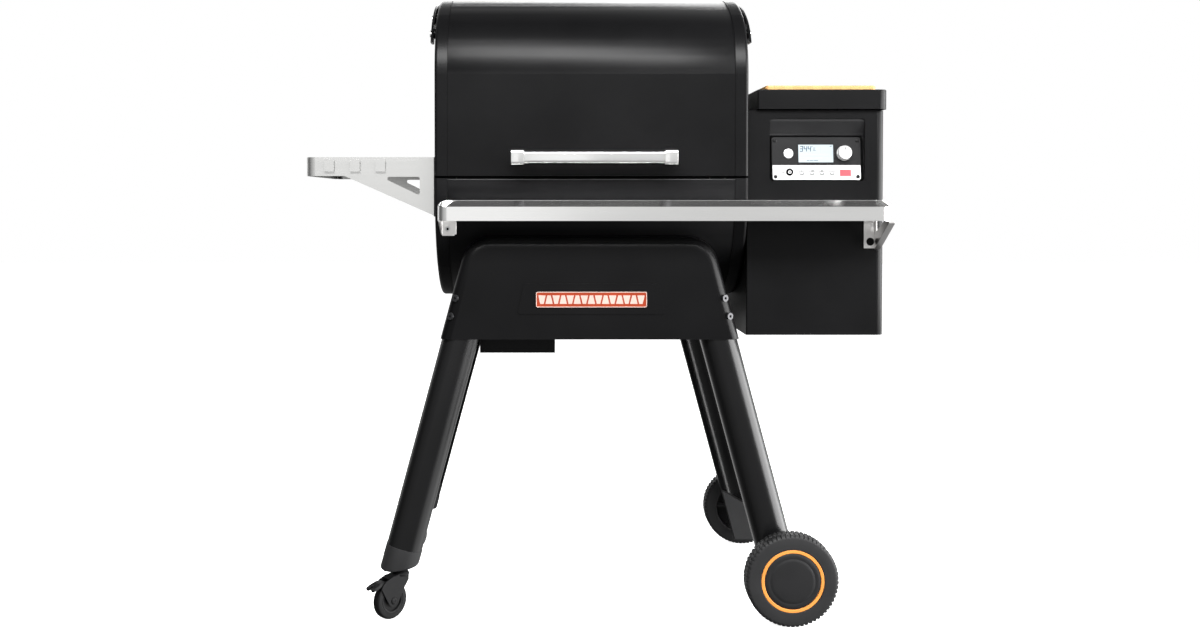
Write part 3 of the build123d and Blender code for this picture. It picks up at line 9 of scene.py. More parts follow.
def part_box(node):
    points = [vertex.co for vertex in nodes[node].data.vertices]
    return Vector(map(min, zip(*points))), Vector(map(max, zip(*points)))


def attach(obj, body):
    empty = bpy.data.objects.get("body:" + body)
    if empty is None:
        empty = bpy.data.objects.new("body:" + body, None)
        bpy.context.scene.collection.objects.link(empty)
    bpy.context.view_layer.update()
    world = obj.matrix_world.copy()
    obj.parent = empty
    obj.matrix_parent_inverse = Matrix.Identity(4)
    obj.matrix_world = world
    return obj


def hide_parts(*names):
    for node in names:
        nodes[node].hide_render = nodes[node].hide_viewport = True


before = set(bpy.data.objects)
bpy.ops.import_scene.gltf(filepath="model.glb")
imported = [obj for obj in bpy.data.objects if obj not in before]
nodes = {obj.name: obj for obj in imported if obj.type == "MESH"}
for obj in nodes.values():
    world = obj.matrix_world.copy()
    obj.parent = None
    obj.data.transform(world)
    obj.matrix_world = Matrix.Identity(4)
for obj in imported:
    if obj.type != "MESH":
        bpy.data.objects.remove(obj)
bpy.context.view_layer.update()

MM = 0.001
FRAME_X = -11.0
AXIS_Y = 8.5


# ---------------------------------------------------------------- materials
def shader(name, colour, metallic, roughness, specular=0.5, coat=0.0):
    """New material with its own Principled shader; returns (material, nodes, links, shader)."""
    mat = bpy.data.materials.new(name)
    mat.use_nodes = True
    tree = mat.node_tree
    bsdf = tree.nodes["Principled BSDF"]
    bsdf.inputs["Base Color"].default_value = (*colour, 1)
    bsdf.inputs["Metallic"].default_value = metallic
    bsdf.inputs["Roughness"].default_value = roughness
    bsdf.inputs["Specular IOR Level"].default_value = specular
    bsdf.inputs["Coat Weight"].default_value = coat
    mat.diffuse_color = (*colour, 1)
    return mat, tree.nodes, tree.links, bsdf


def coords(n, links, scale):
    """Object coordinates, stretched by a scale along each axis."""
    place = n.new("ShaderNodeTexCoord")
    stretch = n.new("ShaderNodeMapping")
    stretch.inputs["Scale"].default_value = scale
    links.new(place.outputs["Object"], stretch.inputs["Vector"])
    return stretch.outputs["Vector"]


def noise(n, links, vector, scale, detail=3.0, rough=0.5):
    """Noise texture's value output."""
    tex = n.new("ShaderNodeTexNoise")
    tex.inputs["Scale"].default_value = scale
    tex.inputs["Detail"].default_value = detail
    tex.inputs["Roughness"].default_value = rough
    links.new(vector, tex.inputs["Vector"])
    return tex.outputs["Fac"]


def ramp(n, links, value, stops):
    """Colour ramp through (position, colour) stops."""
    node = n.new("ShaderNodeValToRGB")
    while len(node.color_ramp.elements) < len(stops):
        node.color_ramp.elements.new(0.5)
    for element, (position, colour) in zip(node.color_ramp.elements, stops):
        element.position = position
        element.color = (*colour, 1)
    links.new(value, node.inputs["Fac"])
    return node.outputs["Color"]


def spread(n, links, value, low, high):
    """Value mapped from 0.3..0.7 to low..high."""
    node = n.new("ShaderNodeMapRange")
    node.inputs["From Min"].default_value = 0.3
    node.inputs["From Max"].default_value = 0.7
    node.inputs["To Min"].default_value = low
    node.inputs["To Max"].default_value = high
    links.new(value, node.inputs["Value"])
    return node.outputs["Result"]


def bump(n, links, bsdf, heights):
    """Bump from (value, distance, strength) layers, one over the other."""
    below = None
    for value, distance, strength in heights:
        node = n.new("ShaderNodeBump")
        node.inputs["Strength"].default_value = strength
        node.inputs["Distance"].default_value = distance
        links.new(value, node.inputs["Height"])
        if below is not None:
            links.new(below, node.inputs["Normal"])
        below = node.outputs["Normal"]
    links.new(below, bsdf.inputs["Normal"])


def shade(colour, factor):
    """Colour times a factor."""
    return tuple(min(1.0, c * factor) for c in colour)


def painted(name, colour, roughness, specular, grain=0.00004):
    """Baked powder coat: fine orange peel, faint cloudiness in tone and gloss."""
    mat, n, links, bsdf = shader(name, colour, 0.0, roughness, specular)
    vector = coords(n, links, (1, 1, 1))
    cloud = noise(n, links, vector, 7.0, 4.0)
    peel = noise(n, links, vector, 900.0, 2.0)
    fine = noise(n, links, vector, 2600.0, 2.0)
    tones = [(0.3, shade(colour, 0.88)), (0.7, shade(colour, 1.14))]
    links.new(ramp(n, links, cloud, tones), bsdf.inputs["Base Color"])
    links.new(spread(n, links, cloud, roughness * 0.94, roughness * 1.07), bsdf.inputs["Roughness"])
    bump(n, links, bsdf, [(peel, grain, 0.5), (fine, grain * 0.5, 0.5)])
    return mat


def brushed(name, colour, roughness, along, metallic=1.0, cut=0.5):
    """Brushed steel: long fine scratches along one axis (0, 1 or 2)."""
    mat, n, links, bsdf = shader(name, colour, metallic, roughness, 0.5)
    stretch = [420.0, 420.0, 420.0]
    stretch[along] = 4.0
    lines = noise(n, links, coords(n, links, stretch), 9.0, 4.0, 0.6)
    soft = [30.0, 30.0, 30.0]
    soft[along] = 1.2
    bands = noise(n, links, coords(n, links, soft), 4.0, 3.0)
    tones = [(0.32, shade(colour, 0.975)), (0.5, colour), (0.68, shade(colour, 1.01))]
    links.new(ramp(n, links, lines, tones), bsdf.inputs["Base Color"])
    links.new(spread(n, links, bands, roughness * 0.95, roughness * 1.06), bsdf.inputs["Roughness"])
    bump(n, links, bsdf, [(lines, 0.0000007, cut)])
    return mat


def moulded(name, colour, roughness, specular=0.4, grain=0.00006):
    """Moulded plastic with a fine spark-eroded texture."""
    mat, n, links, bsdf = shader(name, colour, 0.0, roughness, specular)
    vector = coords(n, links, (1, 1, 1))
    cloud = noise(n, links, vector, 22.0, 4.0)
    pits = noise(n, links, vector, 1500.0, 3.0, 0.6)
    tones = [(0.3, shade(colour, 0.9)), (0.7, shade(colour, 1.12))]
    links.new(ramp(n, links, cloud, tones), bsdf.inputs["Base Color"])
    links.new(spread(n, links, cloud, roughness * 0.93, roughness * 1.08), bsdf.inputs["Roughness"])
    bump(n, links, bsdf, [(pits, grain, 0.6)])
    return mat


def bamboo(name):
    """Laminated bamboo: long strips of slightly different tone, with fibres and nodes."""
    mat, n, links, bsdf = shader(name, (0.86, 0.5, 0.15), 0.0, 0.48, 0.4)
    place = n.new("ShaderNodeTexCoord")
    turn = n.new("ShaderNodeMapping")
    turn.inputs["Rotation"].default_value = (0, 0, radians(90))
    links.new(place.outputs["Object"], turn.inputs["Vector"])
    strips = n.new("ShaderNodeTexBrick")
    strips.inputs["Scale"].default_value = 1.0
    strips.inputs["Brick Width"].default_value = 0.21
    strips.inputs["Row Height"].default_value = 0.0192
    strips.inputs["Mortar Size"].default_value = 0.0003
    strips.inputs["Mortar Smooth"].default_value = 0.3
    strips.inputs["Color1"].default_value = (0.42, 0.245, 0.09, 1)
    strips.inputs["Color2"].default_value = (0.37, 0.207, 0.072, 1)
    strips.inputs["Mortar"].default_value = (0.24, 0.12, 0.04, 1)
    strips.offset = 0.37
    links.new(turn.outputs["Vector"], strips.inputs["Vector"])
    fibre = noise(n, links, coords(n, links, (340.0, 6.0, 340.0)), 3.0, 5.0, 0.65)
    mix = n.new("ShaderNodeMix")
    mix.data_type = "RGBA"
    mix.blend_type = "MULTIPLY"
    mix.inputs["Factor"].default_value = 0.3
    links.new(strips.outputs["Color"], mix.inputs[6])
    tones = [(0.3, (0.55, 0.38, 0.22)), (0.55, (1.0, 0.95, 0.88))]
    links.new(ramp(n, links, fibre, tones), mix.inputs[7])
    links.new(mix.outputs[2], bsdf.inputs["Base Color"])
    links.new(spread(n, links, fibre, 0.52, 0.42), bsdf.inputs["Roughness"])
    bump(n, links, bsdf, [(fibre, 0.00008, 0.4)])
    return mat


def heated(name, colour, roughness):
    """Bare steel that has seen fire: mottled, blued and slightly rough."""
    mat, n, links, bsdf = shader(name, colour, 0.85, roughness, 0.5)
    vector = coords(n, links, (1, 1, 1))
    blotch = noise(n, links, vector, 14.0, 6.0, 0.65)
    grit = noise(n, links, vector, 700.0, 4.0, 0.6)
    tones = [(0.3, shade(colour, 0.6)), (0.5, colour), (0.72, (colour[0] * 1.3, colour[1] * 1.2, colour[2]))]
    links.new(ramp(n, links, blotch, tones), bsdf.inputs["Base Color"])
    links.new(spread(n, links, blotch, roughness * 0.8, roughness * 1.3), bsdf.inputs["Roughness"])
    bump(n, links, bsdf, [(grit, 0.00008, 0.5)])
    return mat


def lit(name, colour, strength):
    """Back-lit display glass: even glow with a faint unevenness under a glossy front."""
    mat, n, links, bsdf = shader(name, colour, 0.0, 0.12, 0.5)
    cloud = noise(n, links, coords(n, links, (1, 1, 1)), 30.0, 2.0)
    glow = ramp(n, links, cloud, [(0.3, shade(colour, 0.94)), (0.7, colour)])
    links.new(glow, bsdf.inputs["Emission Color"])
    bsdf.inputs["Base Color"].default_value = (0.08, 0.09, 0.1, 1)
    bsdf.inputs["Emission Strength"].default_value = strength
    return mat


MAT = {
    "black_paint": painted("black_paint", (0.0028, 0.0028, 0.003), 0.31, 0.1),
    "body_paint": painted("body_paint", (0.0032, 0.0032, 0.0035), 0.46, 0.085),
    # Painted highlight: a grey ten times lighter than the body paint, used only for the light line along the
    # body's top edge.
    "painted_highlight_grey": painted("painted_highlight_grey", (0.03, 0.03, 0.031), 0.4, 0.3),
    "leg_paint": painted("leg_paint", (0.003, 0.003, 0.0032), 0.26, 0.27),
    "hopper_paint": painted("hopper_paint", (0.0024, 0.0024, 0.0026), 0.36, 0.1),
    "enamel": painted("enamel", (0.02, 0.02, 0.022), 0.3, 0.5),
    "stainless_x": brushed("stainless_x", (0.82, 0.82, 0.81), 0.2, 0, 0.97),
    "shelf_steel": brushed("shelf_steel", (0.88, 0.88, 0.87), 0.2, 0, 1.0),
    "stainless_y": brushed("stainless_y", (0.62, 0.62, 0.61), 0.26, 0, 0.95),
    "stainless_z": brushed("stainless_z", (0.66, 0.65, 0.64), 0.3, 2, 0.9),
    "bright_steel": brushed("bright_steel", (0.82, 0.82, 0.81), 0.22, 0, 1.0, 0.2),
    "bolt_black": brushed("bolt_black", (0.035, 0.035, 0.037), 0.38, 2, 0.7, 0.2),
    "bare_steel": heated("bare_steel", (0.42, 0.41, 0.4), 0.38),
    "fork_steel": painted("fork_steel", (0.0045, 0.0045, 0.0048), 0.45, 0.1),
    "tyre_plastic": moulded("tyre_plastic", (0.0125, 0.0125, 0.013), 0.52, 0.2, 0.00006),
    "grey_plastic": moulded("grey_plastic", (0.016, 0.016, 0.0165), 0.5, 0.2),
    "dark_plastic": moulded("dark_plastic", (0.004, 0.004, 0.0042), 0.48, 0.14),
    "amber": moulded("amber", (0.5, 0.185, 0.036), 0.45, 0.3, 0.00003),
    "badge_orange": moulded("badge_orange", (0.19, 0.023, 0.006), 0.42, 0.22, 0.00003),
    "badge_border": moulded("badge_border", (0.37, 0.27, 0.235), 0.3, 0.4, 0.00002),
    "cap_plastic": moulded("cap_plastic", (0.008, 0.008, 0.0085), 0.5, 0.2, 0.00005),
    "caster_tyre": moulded("caster_tyre", (0.0035, 0.0035, 0.0037), 0.48, 0.12, 0.00004),
    "panel_steel": brushed("panel_steel", (0.38, 0.38, 0.38), 0.4, 0, 0.2, 0.2),
    "knob_steel": brushed("knob_steel", (0.52, 0.52, 0.52), 0.32, 0, 0.5, 0.1),
    "screw_black": painted("screw_black", (0.003, 0.003, 0.0032), 0.4, 0.12),
    "screen_light": lit("screen_light", (0.86, 0.97, 1.0), 0.74),
    "screen_ink": moulded("screen_ink", (0.02, 0.05, 0.08), 0.5, 0.2, 0.00001),
    "screen_faint": moulded("screen_faint", (0.5, 0.66, 0.76), 0.5, 0.2, 0.00001),
    "icon_grey": moulded("icon_grey", (0.008, 0.008, 0.0085), 0.5, 0.3, 0.00001),
    "label_red": moulded("label_red", (0.3, 0.035, 0.045), 0.4, 0.3, 0.00001),
    "gasket": moulded("gasket", (0.0012, 0.0012, 0.0012), 0.95, 0.02, 0.0004),
    "panel": moulded("panel", (0.006, 0.006, 0.0064), 0.42, 0.1, 0.00003),
    "bezel": moulded("bezel", (0.007, 0.007, 0.0074), 0.46, 0.16, 0.00003),
    "bamboo": bamboo("bamboo"),
}


def dress(node, name):
    """Give a CAD node one of the materials."""
    for slot in nodes[node].material_slots:
        slot.material = MAT[name]


CAD_LOOKS = {
    "black_paint": [
        "apron_front", "apron_rear", "frame_rails", "exhaust_hood",
        "hinge_brackets", "shelf_mounts", "grease_box", "lid_shell", "lid_end_caps", "hinge_arms",
    ],
    "body_paint": ["body_shell", "body_end_caps"],
    "hopper_paint": ["hopper_body", "hopper_lid"],
    "bolt_black": ["leg_bolts"],
    "screw_black": ["wheel_axles"],
    "grey_plastic": ["fan_housing", "fan_impeller", "controller_box", "power_inlet"],
    "bare_steel": [
        "heat_baffle", "drip_tray", "firepot", "grate_rails", "grease_tray",
        "hopper_bin", "auger_tube", "auger_screw", "auger_motor",
    ],
    "bright_steel": ["temperature_probe", "hinge_bolts"],
    "enamel": ["cooking_grates"],
    "shelf_steel": ["front_shelf"],
    "stainless_y": ["side_shelf"],
    "stainless_z": ["front_shelf_brackets"],
    "gasket": ["lid_gasket"],
    "bamboo": ["serving_board"],
    "bezel": ["control_bezel"],
}
for look, members in CAD_LOOKS.items():
    for member in members:
        dress(member, look)


# ---------------------------------------------------------------- mesh building, in millimetres
def join(*shapes):
    """One shape from several."""
    verts, faces = [], []
    for more, sides in shapes:
        start = len(verts)
        verts += more
        faces += [tuple(i + start for i in side) for side in sides]
    return verts, faces


def moved(shape, place):
    """Shape carried by a matrix."""
    return [tuple(place @ Vector(v)) for v in shape[0]], shape[1]


def axes(origin, x, y, z):
    """Matrix that carries local axes to the given directions at an origin."""
    columns = Matrix((x, y, z)).transposed().to_4x4()
    return Matrix.Translation(origin) @ columns


def loft(rings, caps=True, closed=False):
    """Skin over rings of equally many points, with its ends filled or joined to each other."""
    count = len(rings[0])
    verts = [tuple(point) for ring in rings for point in ring]
    faces = []
    for k in range(len(rings) if closed else len(rings) - 1):
        low, high = k * count, (k + 1) % len(rings) * count
        for i in range(count):
            j = (i + 1) % count
            faces.append((low + i, low + j, high + j, high + i))
    if caps and not closed:
        faces.append(tuple(range(count)))
        faces.append(tuple(range(len(verts) - count, len(verts))))
    return verts, faces


def spun(profile, count, closed=False):
    """Shape turned round local Z from (radius, height) points; a zero radius ends in a point."""
    verts, rings, faces = [], [], []
    for radius, z in profile:
        if radius < 1e-6:
            rings.append([len(verts)] * count)
            verts.append((0.0, 0.0, z))
        else:
            rings.append(list(range(len(verts), len(verts) + count)))
            for i in range(count):
                turn = 2 * pi * i / count
                verts.append((radius * cos(turn), radius * sin(turn), z))
    pairs = list(zip(rings, rings[1:]))
    if closed:
        pairs.append((rings[-1], rings[0]))
    for low, high in pairs:
        for i in range(count):
            j = (i + 1) % count
            side = tuple(dict.fromkeys((low[i], low[j], high[j], high[i])))
            if len(side) > 2:
                faces.append(side)
    return verts, faces


def slab(outline, low, high, holes=()):
    """Flat slab between two heights, from its outline and the outlines of its holes."""
    bm = bmesh.new()
    edges = []
    for loop in (outline, *holes):
        ring = [bm.verts.new((x, y, 0)) for x, y in loop]
        edges += [bm.edges.new(pair) for pair in zip(ring, ring[1:] + ring[:1])]
    bm.verts.index_update()
    rims = [(edge.verts[0].index, edge.verts[1].index) for edge in edges]
    if holes:
        bmesh.ops.triangle_fill(bm, use_beauty=True, use_dissolve=False, edges=edges)
    else:
        bm.faces.new(ring)
    cap = [tuple(v.index for v in face.verts) for face in bm.faces]
    flat = [(v.co.x, v.co.y) for v in bm.verts]
    bm.free()
    count = len(flat)
    verts = [(x, y, low) for x, y in flat] + [(x, y, high) for x, y in flat]
    faces = cap + [tuple(i + count for i in side) for side in cap]
    faces += [(a, b, b + count, a + count) for a, b in rims]
    return verts, faces


def rounded(points, radius, steps=5):
    """Outline with each corner turned into an arc; radius is one number or one for each corner."""
    radii = radius if isinstance(radius, (list, tuple)) else [radius] * len(points)
    out = []
    for i, (corner, r) in enumerate(zip(points, radii)):
        here = Vector(corner)
        before = (Vector(points[i - 1]) - here).normalized()
        after = (Vector(points[(i + 1) % len(points)]) - here).normalized()
        if r <= 0:
            out.append(tuple(here))
            continue
        half = before.angle(after) / 2
        middle = here + (before + after).normalized() * (r / sin(half))
        start = here + before * (r / tan(half)) - middle
        end = here + after * (r / tan(half)) - middle
        for k in range(steps + 1):
            t = k / steps
            turn = pi - 2 * half
            mix = start * (sin((1 - t) * turn) / sin(turn)) + end * (sin(t * turn) / sin(turn))
            out.append(tuple(middle + mix))
    return out


def oblong(width, height, radius, x=0.0, y=0.0, steps=5):
    """Rounded rectangle about a point."""
    w, h = width / 2, height / 2
    corners = [(x - w, y - h), (x + w, y - h), (x + w, y + h), (x - w, y + h)]
    return rounded(corners, radius, steps)


def disc(radius, x=0.0, y=0.0, count=40):
    """Circle as an outline."""
    turns = [2 * pi * i / count for i in range(count)]
    return [(x + radius * cos(t), y + radius * sin(t)) for t in turns]


def piece(name, shape, look, body, stands_for=(), soft=0.0, angle=32.0):
    """New piece of the grill from a shape, riding on a body; soft is the width of its eased edges."""
    mesh = bpy.data.meshes.new(name)
    mesh.from_pydata([[c * MM for c in v] for v in shape[0]], [], shape[1])
    bm = bmesh.new()
    bm.from_mesh(mesh)
    bmesh.ops.recalc_face_normals(bm, faces=bm.faces)
    bm.to_mesh(mesh)
    bm.free()
    mesh.shade_smooth()
    mesh.set_sharp_from_angle(angle=radians(angle))
    mesh.materials.append(MAT[look])
    obj = bpy.data.objects.new(name, mesh)
    bpy.context.scene.collection.objects.link(obj)
    if soft > 0:
        ease(obj, soft, angle)
    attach(obj, body)
    if stands_for:
        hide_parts(*stands_for)
    return obj


def ease(obj, width, angle=32.0, segments=2):
    """Round off an object's sharp edges by a small width."""
    edge = obj.modifiers.new("eased_edges", "BEVEL")
    edge.width = width * MM
    edge.segments = segments
    edge.limit_method = "ANGLE"
    edge.angle_limit = radians(angle)
    edge.harden_normals = True


# ---------------------------------------------------------------- wheels
AXLE_X = FRAME_X + 396.0
WHEEL_RADIUS = 91.5
WHEEL_FACE = 330.0
LUGS = 62


def tyre():
    """Tyre, rim and ribbed back of a wheel; local Z points out of the grill, 0 at the outer face."""
    steps = [0.0, 0.1, 0.18, 0.32, 0.4, 0.5, 0.6, 0.68, 0.82, 0.9]
    outer_row = [0, 0, 1, 1, 1, 1, 1, 1, 1, 0]
    inner_row = [1, 1, 1, 1, 0, 0, 0, 1, 1, 1]
    plain = [0] * 10
    profile = [
        (8.3, -9.0, 0, plain), (8.3, -4.2, 0, plain), (62.6, -4.2, 0, plain), (62.6, -1.0, 0, plain),
        (63.3, -0.3, 0, plain), (72.0, 0.0, 0, plain), (83.0, -0.3, 0, plain), (85.2, -0.7, 0, plain),
        (86.2, -1.2, 1.0, outer_row), (87.4, -3.0, 2.0, outer_row), (88.8, -5.4, 2.5, outer_row),
        (89.0, -8.5, 2.5, outer_row), (89.0, -20.5, 2.5, outer_row), (89.0, -21.4, 0, outer_row),
        (89.0, -23.6, 0, inner_row), (89.0, -24.5, 2.5, inner_row), (89.0, -36.5, 2.5, inner_row),
        (88.8, -39.6, 2.5, inner_row), (87.4, -42.0, 2.0, inner_row), (86.2, -43.8, 1.0, inner_row),
        (85.2, -44.5, 0, plain), (83.0, -45.0, 0, plain), (64.0, -45.0, 0, plain),
        (62.5, -44.0, 0, plain), (62.0, -10.0, 0, plain), (18.6, -10.0, 0, plain),
        (18.0, -43.6, 0, plain), (17.0, -44.6, 0, plain), (8.3, -44.6, 0, plain),
    ]
    rings = []
    for radius, z, lug, row in profile:
        ring = []
        slant = 0.0 if lug == 0 and row is plain else (22.5 + z) / 22.5 * 0.16
        for k in range(LUGS):
            for step, high in zip(steps, row):
                turn = 2 * pi * (k + step + slant) / LUGS
                r = radius + lug * high
                ring.append((r * cos(turn), r * sin(turn), z))
        rings.append(ring)
    body = loft(rings, closed=True)
    ribs = []
    for i in range(6):
        turn = Matrix.Rotation(i * pi / 3, 4, "Z")
        outline = [(17.0, -1.6), (63.0, -2.2), (63.0, 2.2), (17.0, 1.6)]
        ribs.append(moved(slab(outline, -38.0, -9.5), turn))
    return join(body, *ribs)


def make_wheels():
    """Large wheels, each a tyre with its rim, a coloured ring and a hub cap."""
    ring = [(55.5, -4.0), (61.9, -4.0), (61.9, -1.3), (61.3, -0.7), (56.1, -0.7), (55.5, -1.3)]
    cap = [(0, -4.0), (54.7, -4.0), (54.7, -2.1), (53.8, -1.4), (46.2, -1.4), (45.2, -1.6), (44.4, -1.6)]
    cap += [(43.4, -1.4), (41.6, -0.6), (38.0, -0.25), (20.0, -0.05), (0, 0)]
    for side, end in ((-1, "front"), (1, "rear")):
        centre = (AXLE_X, AXIS_Y + side * WHEEL_FACE, WHEEL_RADIUS)
        place = axes(centre, (-side, 0, 0), (0, 0, 1), (0, side, 0))
        body = f"wheel_{end}"
        piece(f"{end}_tyre", moved(tyre(), place), "tyre_plastic", body,
              [f"{end}_wheel"], angle=28)
        piece(f"{end}_wheel_ring", moved(spun(ring, 120, closed=True), place), "amber", body,
              [f"{end}_ring"], soft=0.25)
        piece(f"{end}_wheel_cap", moved(spun(cap, 120), place), "cap_plastic", body,
              [f"{end}_hub_cap"], angle=40)


# ---------------------------------------------------------------- legs
LEG_TILT = radians(15.1)
LEG_WIDTH = 72.0
LEG_DEPTH = 45.0
LEG_FACE = 273.0


def leg_x(z):
    """Distance of a leg's centre line from the middle of the frame at height z."""
    return 347.2 + (239.0 - z) * tan(LEG_TILT)


def leg_section(shrink, depth, steps=14):
    """Outline of a leg from its open side round the bowed face, as (across, outward) points."""
    half, face, corner = LEG_WIDTH / 2 - shrink, LEG_FACE - shrink, 31.0 - shrink
    side = [(half, LEG_FACE - depth), (half, face - 0.85 * (depth - corner) - corner)]
    turn = [k * pi / 2 / steps for k in range(steps + 1)]
    bend = [(half - corner + corner * cos(t), face - 0.1 - corner + corner * sin(t)) for t in turn]
    bow = [((half - corner) * (1 - k / 6), face - 0.1 * (1 - k / 6) ** 2) for k in range(1, 7)]
    right = side + bend + bow
    return right + [(-u, v) for u, v in reversed(right[:-1])]


def leg_ring(hand, side, outline, height):
    """Points of a leg's outline where it meets a height, one number or a function of x."""
    ring = []
    for u, v in outline:
        x = leg_x(height if not callable(height) else 110.0) + u / cos(LEG_TILT)
        z = height(x) if callable(height) else height
        x = leg_x(z) + u / cos(LEG_TILT)
        ring.append((FRAME_X + hand * x, AXIS_Y + side * v, z))
    return ring


def square_ring(hand, side, outline, z):
    """Points of a leg's outline in the plane square to the leg through its centre line at z."""
    return [(FRAME_X + hand * (leg_x(z) + u * cos(LEG_TILT)), AXIS_Y + side * v, z + u * sin(LEG_TILT))
            for u, v in outline]


def make_legs():
    """Legs with a bowed face and wide rounded edges, their caster sockets and wheel blocks."""
    skin = leg_section(0.0, LEG_DEPTH)
    lining = leg_section(2.5, LEG_DEPTH)
    channel = skin + lining[::-1]
    bars_made, feet = [], []
    solid = leg_section(-1.0, LEG_DEPTH + 1.0)
    plug = leg_section(2.6, LEG_DEPTH - 3.0)
    for side in (-1, 1):
        bars_made.append(loft([leg_ring(1, side, channel, 27.0), leg_ring(1, side, channel, 709.5)]))
        bars_made.append(loft([square_ring(-1, side, channel, 138.0), leg_ring(-1, side, channel, 709.5)]))

        def under(lift):
            """Bottom of a socket: level in the middle, rising to both edges."""
            middle = leg_x(93.0)
            reach = LEG_WIDTH / 2 + 1
            return lambda x: 93.0 + lift + 6.0 * max(0.0, (x - middle - reach + 17) / 17) ** 2 \
                + 6.5 * max(0.0, (middle - reach + 44 - x) / 44) ** 1.3

        rings = [square_ring(-1, side, leg_section(0.2, LEG_DEPTH + 1.0), 138.2)]
        rings += [square_ring(-1, side, solid, 137.4)]
        rings += [leg_ring(-1, side, solid, under(4.0))]
        rings += [leg_ring(-1, side, leg_section(-0.3, LEG_DEPTH), under(1.6))]
        rings += [leg_ring(-1, side, leg_section(1.6, LEG_DEPTH - 2.0), under(0.3))]
        rings += [leg_ring(-1, side, leg_section(4.5, LEG_DEPTH - 5.0), under(0.0))]
        feet.append(loft(rings))
        feet.append(loft([square_ring(-1, side, plug, 137.0), square_ring(-1, side, plug, 165.0)]))
        slope = lambda x: 185.0 - (x - 280.0) * 90.0 / 140.0
        fill = leg_section(2.6, LEG_DEPTH - 0.2)
        feet.append(loft([leg_ring(1, side, fill, 27.2), leg_ring(1, side, fill, slope)]))
    piece("leg_channels", join(*bars_made), "leg_paint", "grill", ["legs"], angle=40)
    piece("leg_sockets", join(*feet), "grey_plastic", "grill", ["leg_feet"], angle=40)


# ---------------------------------------------------------------- casters
CASTER_X = FRAME_X - 382.0
CASTER_Y = 250.0


def caster_place(side):
    """Local x along the trail, y up, z across the caster; the origin is on the floor under the pin."""
    turn = radians(225)
    origin = (CASTER_X, AXIS_Y + side * CASTER_Y, 0)
    return axes(origin, (cos(turn), sin(turn), 0), (0, 0, 1), (sin(turn), -cos(turn), 0))


def sheet_bend(path, thickness, half_width):
    """Sheet of even thickness that follows a path in the local XY plane, across local Z."""
    rings = []
    for i, point in enumerate(path):
        here = Vector(point)
        ahead = Vector(path[min(i + 1, len(path) - 1)]) - Vector(path[max(i - 1, 0)])
        under = Vector((ahead.y, -ahead.x)).normalized() * thickness
        wide = half_width[i] if isinstance(half_width, list) else half_width
        low = here + under
        sides = [(here, -wide), (here, wide), (low, wide), (low, -wide)]
        rings.append([(point.x, point.y, z) for point, z in sides])
    return loft(rings)


def upright(profile, count, x=0.0):
    """Turned shape whose axis is the local Y axis of a caster."""
    return moved(spun(profile, count), axes((x, 0, 0), (0, 0, 1), (1, 0, 0), (0, 1, 0)))


